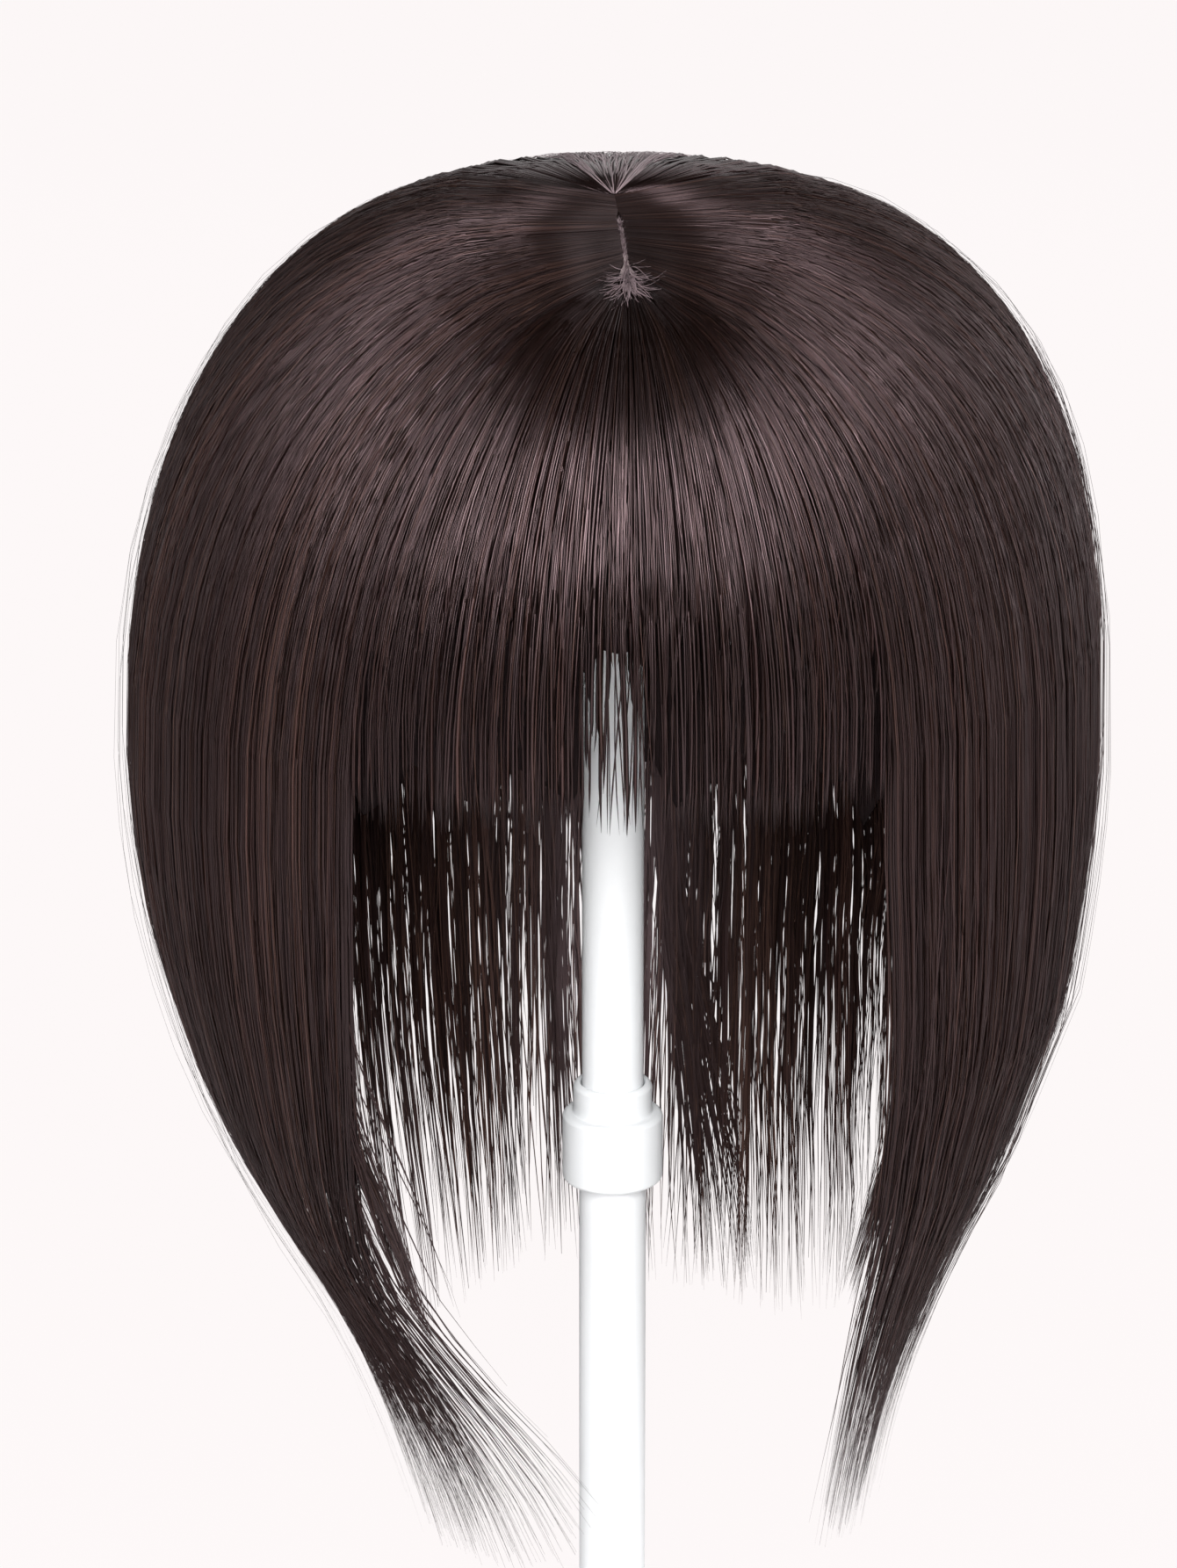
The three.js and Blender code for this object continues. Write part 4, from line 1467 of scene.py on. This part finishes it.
    def base(self, wardrobe: Wardrobe) -> None:
        """Builds the thin scalp-coloured base that the hair grows from.

        Args:
            wardrobe: the finishes.
        """
        wide, deep = self.base_size
        dome = DomeLayers(self.form, wide, deep)
        piece = dome.build("topper_base_skin", self.base_under, self.base_under + self.base_wall)
        settle(piece, wardrobe.scalp)
        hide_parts("topper_base")

    def clip(self, node: str, turn: float, wardrobe: Wardrobe) -> None:
        """Builds one clip: a curved bar with rounded ends under the base.

        Args:
            node: the CAD node it stands for.
            turn: where it sits round the base, from the front towards +X.
            wardrobe: the finishes.
        """
        wide, deep = self.base_size
        away = np.array([math.sin(turn), -math.cos(turn)])
        along = np.array([-away[1], away[0]])
        reach = abs(away[0]) * wide + abs(away[1]) * deep - self.clip_inset
        long = np.sin(np.linspace(-math.pi / 2.0, math.pi / 2.0, self.clip_grid[0]))[:, None]
        narrow = blend(self.clip_end, 1.0, np.sqrt(1.0 - np.abs(long) ** self.clip_power))
        short = np.linspace(-0.5, 0.5, self.clip_grid[1])[None, :] * narrow * self.clip_size[1]
        x = away[0] * (reach + short) + along[0] * long * self.clip_size[0] / 2.0
        y = away[1] * (reach + short) + along[1] * long * self.clip_size[0] / 2.0
        layers = [self.form.layer_points(x, y, under).reshape(-1, 3) for under in self.clip_under]
        piece = object_from_arrays(f"{node}_bar", np.concatenate(layers), wall_faces(*x.shape))
        soften(piece, 0.0004)
        settle(piece, wardrobe.clip)
        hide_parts(node)

    def painted_crown_sheen(self, wardrobe: Wardrobe) -> None:
        """Adds the pale thin hairs that fan out behind the parting; their pale colour is painted sheen, the
        back light's grazing highlight where the back hair turns over the crown.

        Args:
            wardrobe: the finishes.
        """
        # Painted sheen: pale strands that paint the back light's grazing highlight on the back hair behind
        # the parting.
        style = StrandStyle("pale", 210, (0.12 * MM, 0.26 * MM), across=(0.38, 0.62), clumps=26, pull=0.15,
                            layer=(0.84, 1.06), stray=0.06, stops=0.32, crown_steps=7, hang_steps=0,
                            wave=0.012, seed=52)
        paths = StrandGrower(self.form, Section.BACK).grow(style)
        settle(StrandMesher("hair_back_pale", 0.3).build(paths), wardrobe.roots)


@dataclass
class Stand:
    """The plain white stand: a cap under the base, two posts joined by a collar, and a round foot."""

    form: HairForm
    cap_size: tuple[float, float] = (0.055, 0.059)
    cap_under: float = 0.00875
    cap_wall: float = 0.003
    cap_corner: float = 0.004
    cap_skirt: float = 0.022
    cap_edge: float = 0.002
    boss_wall: float = 0.0025
    boss_depth: float = 0.026
    post_gap: float = 0.0003
    post_clear: float = 0.001
    upper_radius: float = 0.00675
    lower_radius: float = 0.0074
    collar_radius: float = 0.0111
    collar_height: float = 0.016
    neck_radius: float = 0.0087
    neck_height: float = 0.007
    collar_drop: float = 0.205
    collar_web: float = 0.002
    foot_radius: float = 0.066
    foot_thickness: float = 0.008
    hub_radius: float = 0.014
    hub_height: float = 0.012
    socket_depth: float = 0.014
    bevel: float = 0.0008

    def build(self, wardrobe: Wardrobe) -> None:
        """Builds and dresses the stand's pieces.

        Args:
            wardrobe: the finishes.
        """
        collar_top = self.form.crown_z - self.collar_drop
        collar_low = collar_top - self.neck_height - self.collar_height
        middle = (collar_top + collar_low) / 2.0
        seats = middle + self.collar_web / 2.0, middle - self.collar_web / 2.0
        pieces = {
            "stand_foot": (self.foot(),),
            "stand_post_lower": (self.post("lower_post", self.lower_radius, self.foot_seat + self.post_gap,
                                           seats[1] - self.post_gap),),
            "stand_collar": (self.collar(collar_top, collar_low, seats),),
            "stand_post_upper": (self.post("upper_post", self.upper_radius, seats[0] + self.post_gap,
                                           self.post_top),),
            "stand_cap": (self.cap(), self.boss()),
        }
        for node, made in pieces.items():
            for piece in made:
                soften(piece, self.bevel / 2.0)
                settle(piece, wardrobe.plastic)
                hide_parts(node)

    @property
    def foot_seat(self) -> float:
        """Height of the bottom of the foot's socket."""
        return self.foot_thickness + self.hub_height - self.socket_depth

    @property
    def post_top(self) -> float:
        """Height of the upper post's top, just under the cap."""
        return self.form.crown_z - self.cap_under - self.cap_wall - self.post_clear

    def post(self, name: str, radius: float, low: float, high: float) -> bpy.types.Object:
        """Builds a post.

        Args:
            name: the piece's name.
            radius: its radius.
            low: height of its bottom.
            high: height of its top.

        Returns:
            The new object.
        """
        return turned(name, ((0.0, low), (radius, low), (radius, high), (0.0, high)))

    def collar(self, top: float, low: float, seats: tuple[float, float]) -> bpy.types.Object:
        """Builds the collar, two stepped rings bored from both ends.

        Args:
            top: height of its top.
            low: height of its bottom.
            seats: heights where the upper and the lower post end.

        Returns:
            The new object.
        """
        upper, lower = self.upper_radius + self.post_gap, self.lower_radius + self.post_gap
        step, cut = top - self.neck_height, self.bevel
        return turned("collar", (
            (0.0, seats[1]), (lower, seats[1]), (lower, low),
            (self.collar_radius - cut, low), (self.collar_radius, low + cut),
            (self.collar_radius, step - cut), (self.collar_radius - cut, step), (self.neck_radius, step),
            (self.neck_radius, top - cut), (self.neck_radius - cut, top), (upper, top),
            (upper, seats[0]), (0.0, seats[0]),
        ))

    def foot(self) -> bpy.types.Object:
        """Builds the foot, a flat disc with a rounded rim and a bored hub.

        Returns:
            The new object.
        """
        socket = self.lower_radius + self.post_gap
        top, rim = self.foot_thickness + self.hub_height, self.foot_thickness / 2.0
        turns = np.linspace(-math.pi / 2.0, math.pi / 2.0, 13)
        edge = [(self.foot_radius - rim + rim * math.cos(t), rim + rim * math.sin(t)) for t in turns]
        turns = np.linspace(0.0, math.pi / 2.0, 7)
        fillet = [(self.hub_radius + rim * (1.0 - math.sin(t)),
                   self.foot_thickness + rim * (1.0 - math.cos(t))) for t in turns]
        return turned("foot", (
            (0.0, 0.0), *edge, *fillet,
            (self.hub_radius, top - self.bevel), (self.hub_radius - self.bevel, top), (socket, top),
            (socket, self.foot_seat), (0.0, self.foot_seat),
        ))

    def boss(self) -> bpy.types.Object:
        """Builds the sleeve under the cap that the upper post goes into.

        Returns:
            The new object.
        """
        low = self.post_top - self.boss_depth
        high = self.post_top + self.cap_wall / 2.0 + self.post_clear
        bore = self.upper_radius + self.post_gap
        return turned("cap_boss", (
            (0.0, self.post_top + self.post_gap), (bore, self.post_top + self.post_gap), (bore, low),
            (bore + self.boss_wall, low), (bore + self.boss_wall, high), (0.0, high),
        ))

    def cap(self) -> bpy.types.Object:
        """Builds the cap, a dome with a rounded edge turned down into a skirt.

        Returns:
            The new object.
        """
        form, under = self.form, self.cap_under
        dome = DomeLayers(form, *self.cap_size)
        shares = np.arange(1, dome.rings + 1) / dome.rings
        edge = form.layer_points(*dome.place(np.ones(1)), under)[0]

        def skirt(grow: float, lower: float) -> np.ndarray:
            """A ring outside and below the dome's edge."""
            scale = np.array([1.0 + grow / self.cap_size[0], 1.0 + grow / self.cap_size[1], 1.0])
            return edge * scale - np.array([0.0, 0.0, lower])

        inside = 1.0 - self.cap_edge / self.cap_size[0]
        rings = [*form.layer_points(*dome.place(shares), under)]
        for turn in np.linspace(0.0, math.pi / 2.0, 7)[1:]:
            rings.append(skirt(self.cap_corner * math.sin(turn), self.cap_corner * (1.0 - math.cos(turn))))
        inner = self.cap_corner - self.cap_wall
        rings += [skirt(self.cap_corner, self.cap_skirt), skirt(inner, self.cap_skirt)]
        rings.append(skirt(inner, self.cap_corner + self.cap_wall))
        rings += [*form.layer_points(*dome.place(shares * inside), under + self.cap_wall)][::-1]
        middle = np.zeros(1)
        tops = [form.layer_points(middle, middle, depth) for depth in (under, under + self.cap_wall)]
        return closed_rings("cap", tops[0], np.stack(rings), tops[1])


@dataclass
class Studio:
    """The pale floor, the soft lights and the camera at the photograph's angle."""

    form: HairForm
    image: tuple[int, int] = (1340, 1785)
    metres_per_pixel: float = 0.00019
    elevation: float = math.radians(19.3)
    distance: float = 1.3
    axis_pixel: float = 698.0
    crown_pixel: float = 218.0
    sensor_width: float = 36.0
    room_tint: tuple[float, float, float] = (1.0, 0.985, 0.985)
    room_heights: tuple[float, float] = (0.1, 0.75)
    room_light: tuple[float, float] = (0.18, 0.01)

    def build(self, wardrobe: Wardrobe) -> None:
        """Makes the floor, the lights and the camera.

        Args:
            wardrobe: the finishes.
        """
        self.camera()
        self.floor(wardrobe)
        self.area("key", (0.0, -1.35, 0.92), (0.0, -0.05, 0.28), 0.9, 33.5)
        self.area("left_wall", (-1.3, 0.3, 0.7), (0.0, 0.0, 0.28), 1.4, 3.4)
        self.area("right_wall", (1.3, 0.3, 0.7), (0.0, 0.0, 0.28), 1.4, 12.0)
        self.area("rim", (0.05, 1.3, 0.85), (0.0, 0.0, 0.35), 1.4, 4.5)
        self.room()
        bpy.context.scene.view_settings.view_transform = "Standard"

    def room(self) -> None:
        """Surrounds the scene with a pale room that is bright round the sides and dark overhead."""
        world = bpy.data.worlds.new("pale_room")
        world.use_nodes = True
        nodes = NodeBuilder(world.node_tree)
        place = nodes.add("ShaderNodeTexCoord")
        split = nodes.add("ShaderNodeSeparateXYZ")
        nodes.join(place.outputs["Generated"], split.inputs[0])
        background = world.node_tree.nodes["Background"]
        background.inputs["Color"].default_value = (*self.room_tint, 1.0)
        strength = nodes.ranged(split.outputs["Z"], *self.room_heights, *self.room_light)
        nodes.join(strength, background.inputs["Strength"])
        seen = nodes.add("ShaderNodeBackground")
        seen.inputs["Color"].default_value = (*FloorFinish().even, 1.0)
        path = nodes.add("ShaderNodeLightPath")
        both = nodes.add("ShaderNodeMixShader")
        nodes.join(path.outputs["Is Camera Ray"], both.inputs[0])
        nodes.join(background.outputs[0], both.inputs[1])
        nodes.join(seen.outputs[0], both.inputs[2])
        nodes.join(both.outputs[0], world.node_tree.nodes["World Output"].inputs["Surface"])
        bpy.context.scene.world = world

    def camera(self) -> None:
        """Sets the camera so that the crown and the post fall on their pixels."""
        data = bpy.data.cameras.new("camera")
        data.sensor_width = self.sensor_width
        data.lens = self.sensor_width * self.distance / (self.image[1] * self.metres_per_pixel)
        camera = bpy.data.objects.new("camera", data)
        bpy.context.scene.collection.objects.link(camera)
        aside = (self.image[0] / 2.0 - self.axis_pixel) * self.metres_per_pixel
        below = (self.image[1] / 2.0 - self.crown_pixel) * self.metres_per_pixel
        target = Vector((aside, 0.0, self.form.crown_z - below / math.cos(self.elevation)))
        back = Vector((0.0, -math.cos(self.elevation), math.sin(self.elevation)))
        camera.location = target + back * self.distance
        camera.rotation_mode = "QUATERNION"
        camera.rotation_quaternion = (-back).to_track_quat("-Z", "Y")
        bpy.context.scene.camera = camera

    def floor(self, wardrobe: Wardrobe) -> None:
        """Lays the floor, curving up into a backdrop far behind.

        Args:
            wardrobe: the finishes.
        """
        wide, near, far, high, bend = 6.0, -4.0, 3.0, 4.0, 1.2
        turns = np.linspace(0.0, math.pi / 2.0, 17)
        line = [(near, 0.0)] + [(far + bend * math.sin(t), bend * (1.0 - math.cos(t))) for t in turns]
        line.append((far + bend, high))
        points = np.array([(side * wide, y, z) for side in (-1.0, 1.0) for y, z in line])
        count = len(line)
        step = np.arange(count - 1)
        faces = np.stack([step, step + count, step + count + 1, step + 1], axis=-1)
        floor = object_from_arrays("floor", points, faces)
        floor.data.materials.append(wardrobe.floor)

    def area(self, name: str, place: tuple, target: tuple, size: float, watts: float) -> None:
        """Adds a soft square light.

        Args:
            name: the light's name.
            place: where it stands.
            target: what it points at.
            size: length of its side.
            watts: its power.
        """
        data = bpy.data.lights.new(name, "AREA")
        data.size = size
        data.energy = watts
        light = bpy.data.objects.new(name, data)
        light.location = place
        light.rotation_mode = "QUATERNION"
        light.rotation_quaternion = (Vector(target) - Vector(place)).to_track_quat("-Z", "Y")
        bpy.context.scene.collection.objects.link(light)


def main() -> None:
    """Builds the topper, the stand and the studio."""
    logging.basicConfig(level=logging.INFO)
    form = HairForm()
    wardrobe = Wardrobe()
    Studio(form).build(wardrobe)
    Topper(form).build(wardrobe)
    Stand(form).build(wardrobe)


if __name__ == "__main__":
    main()
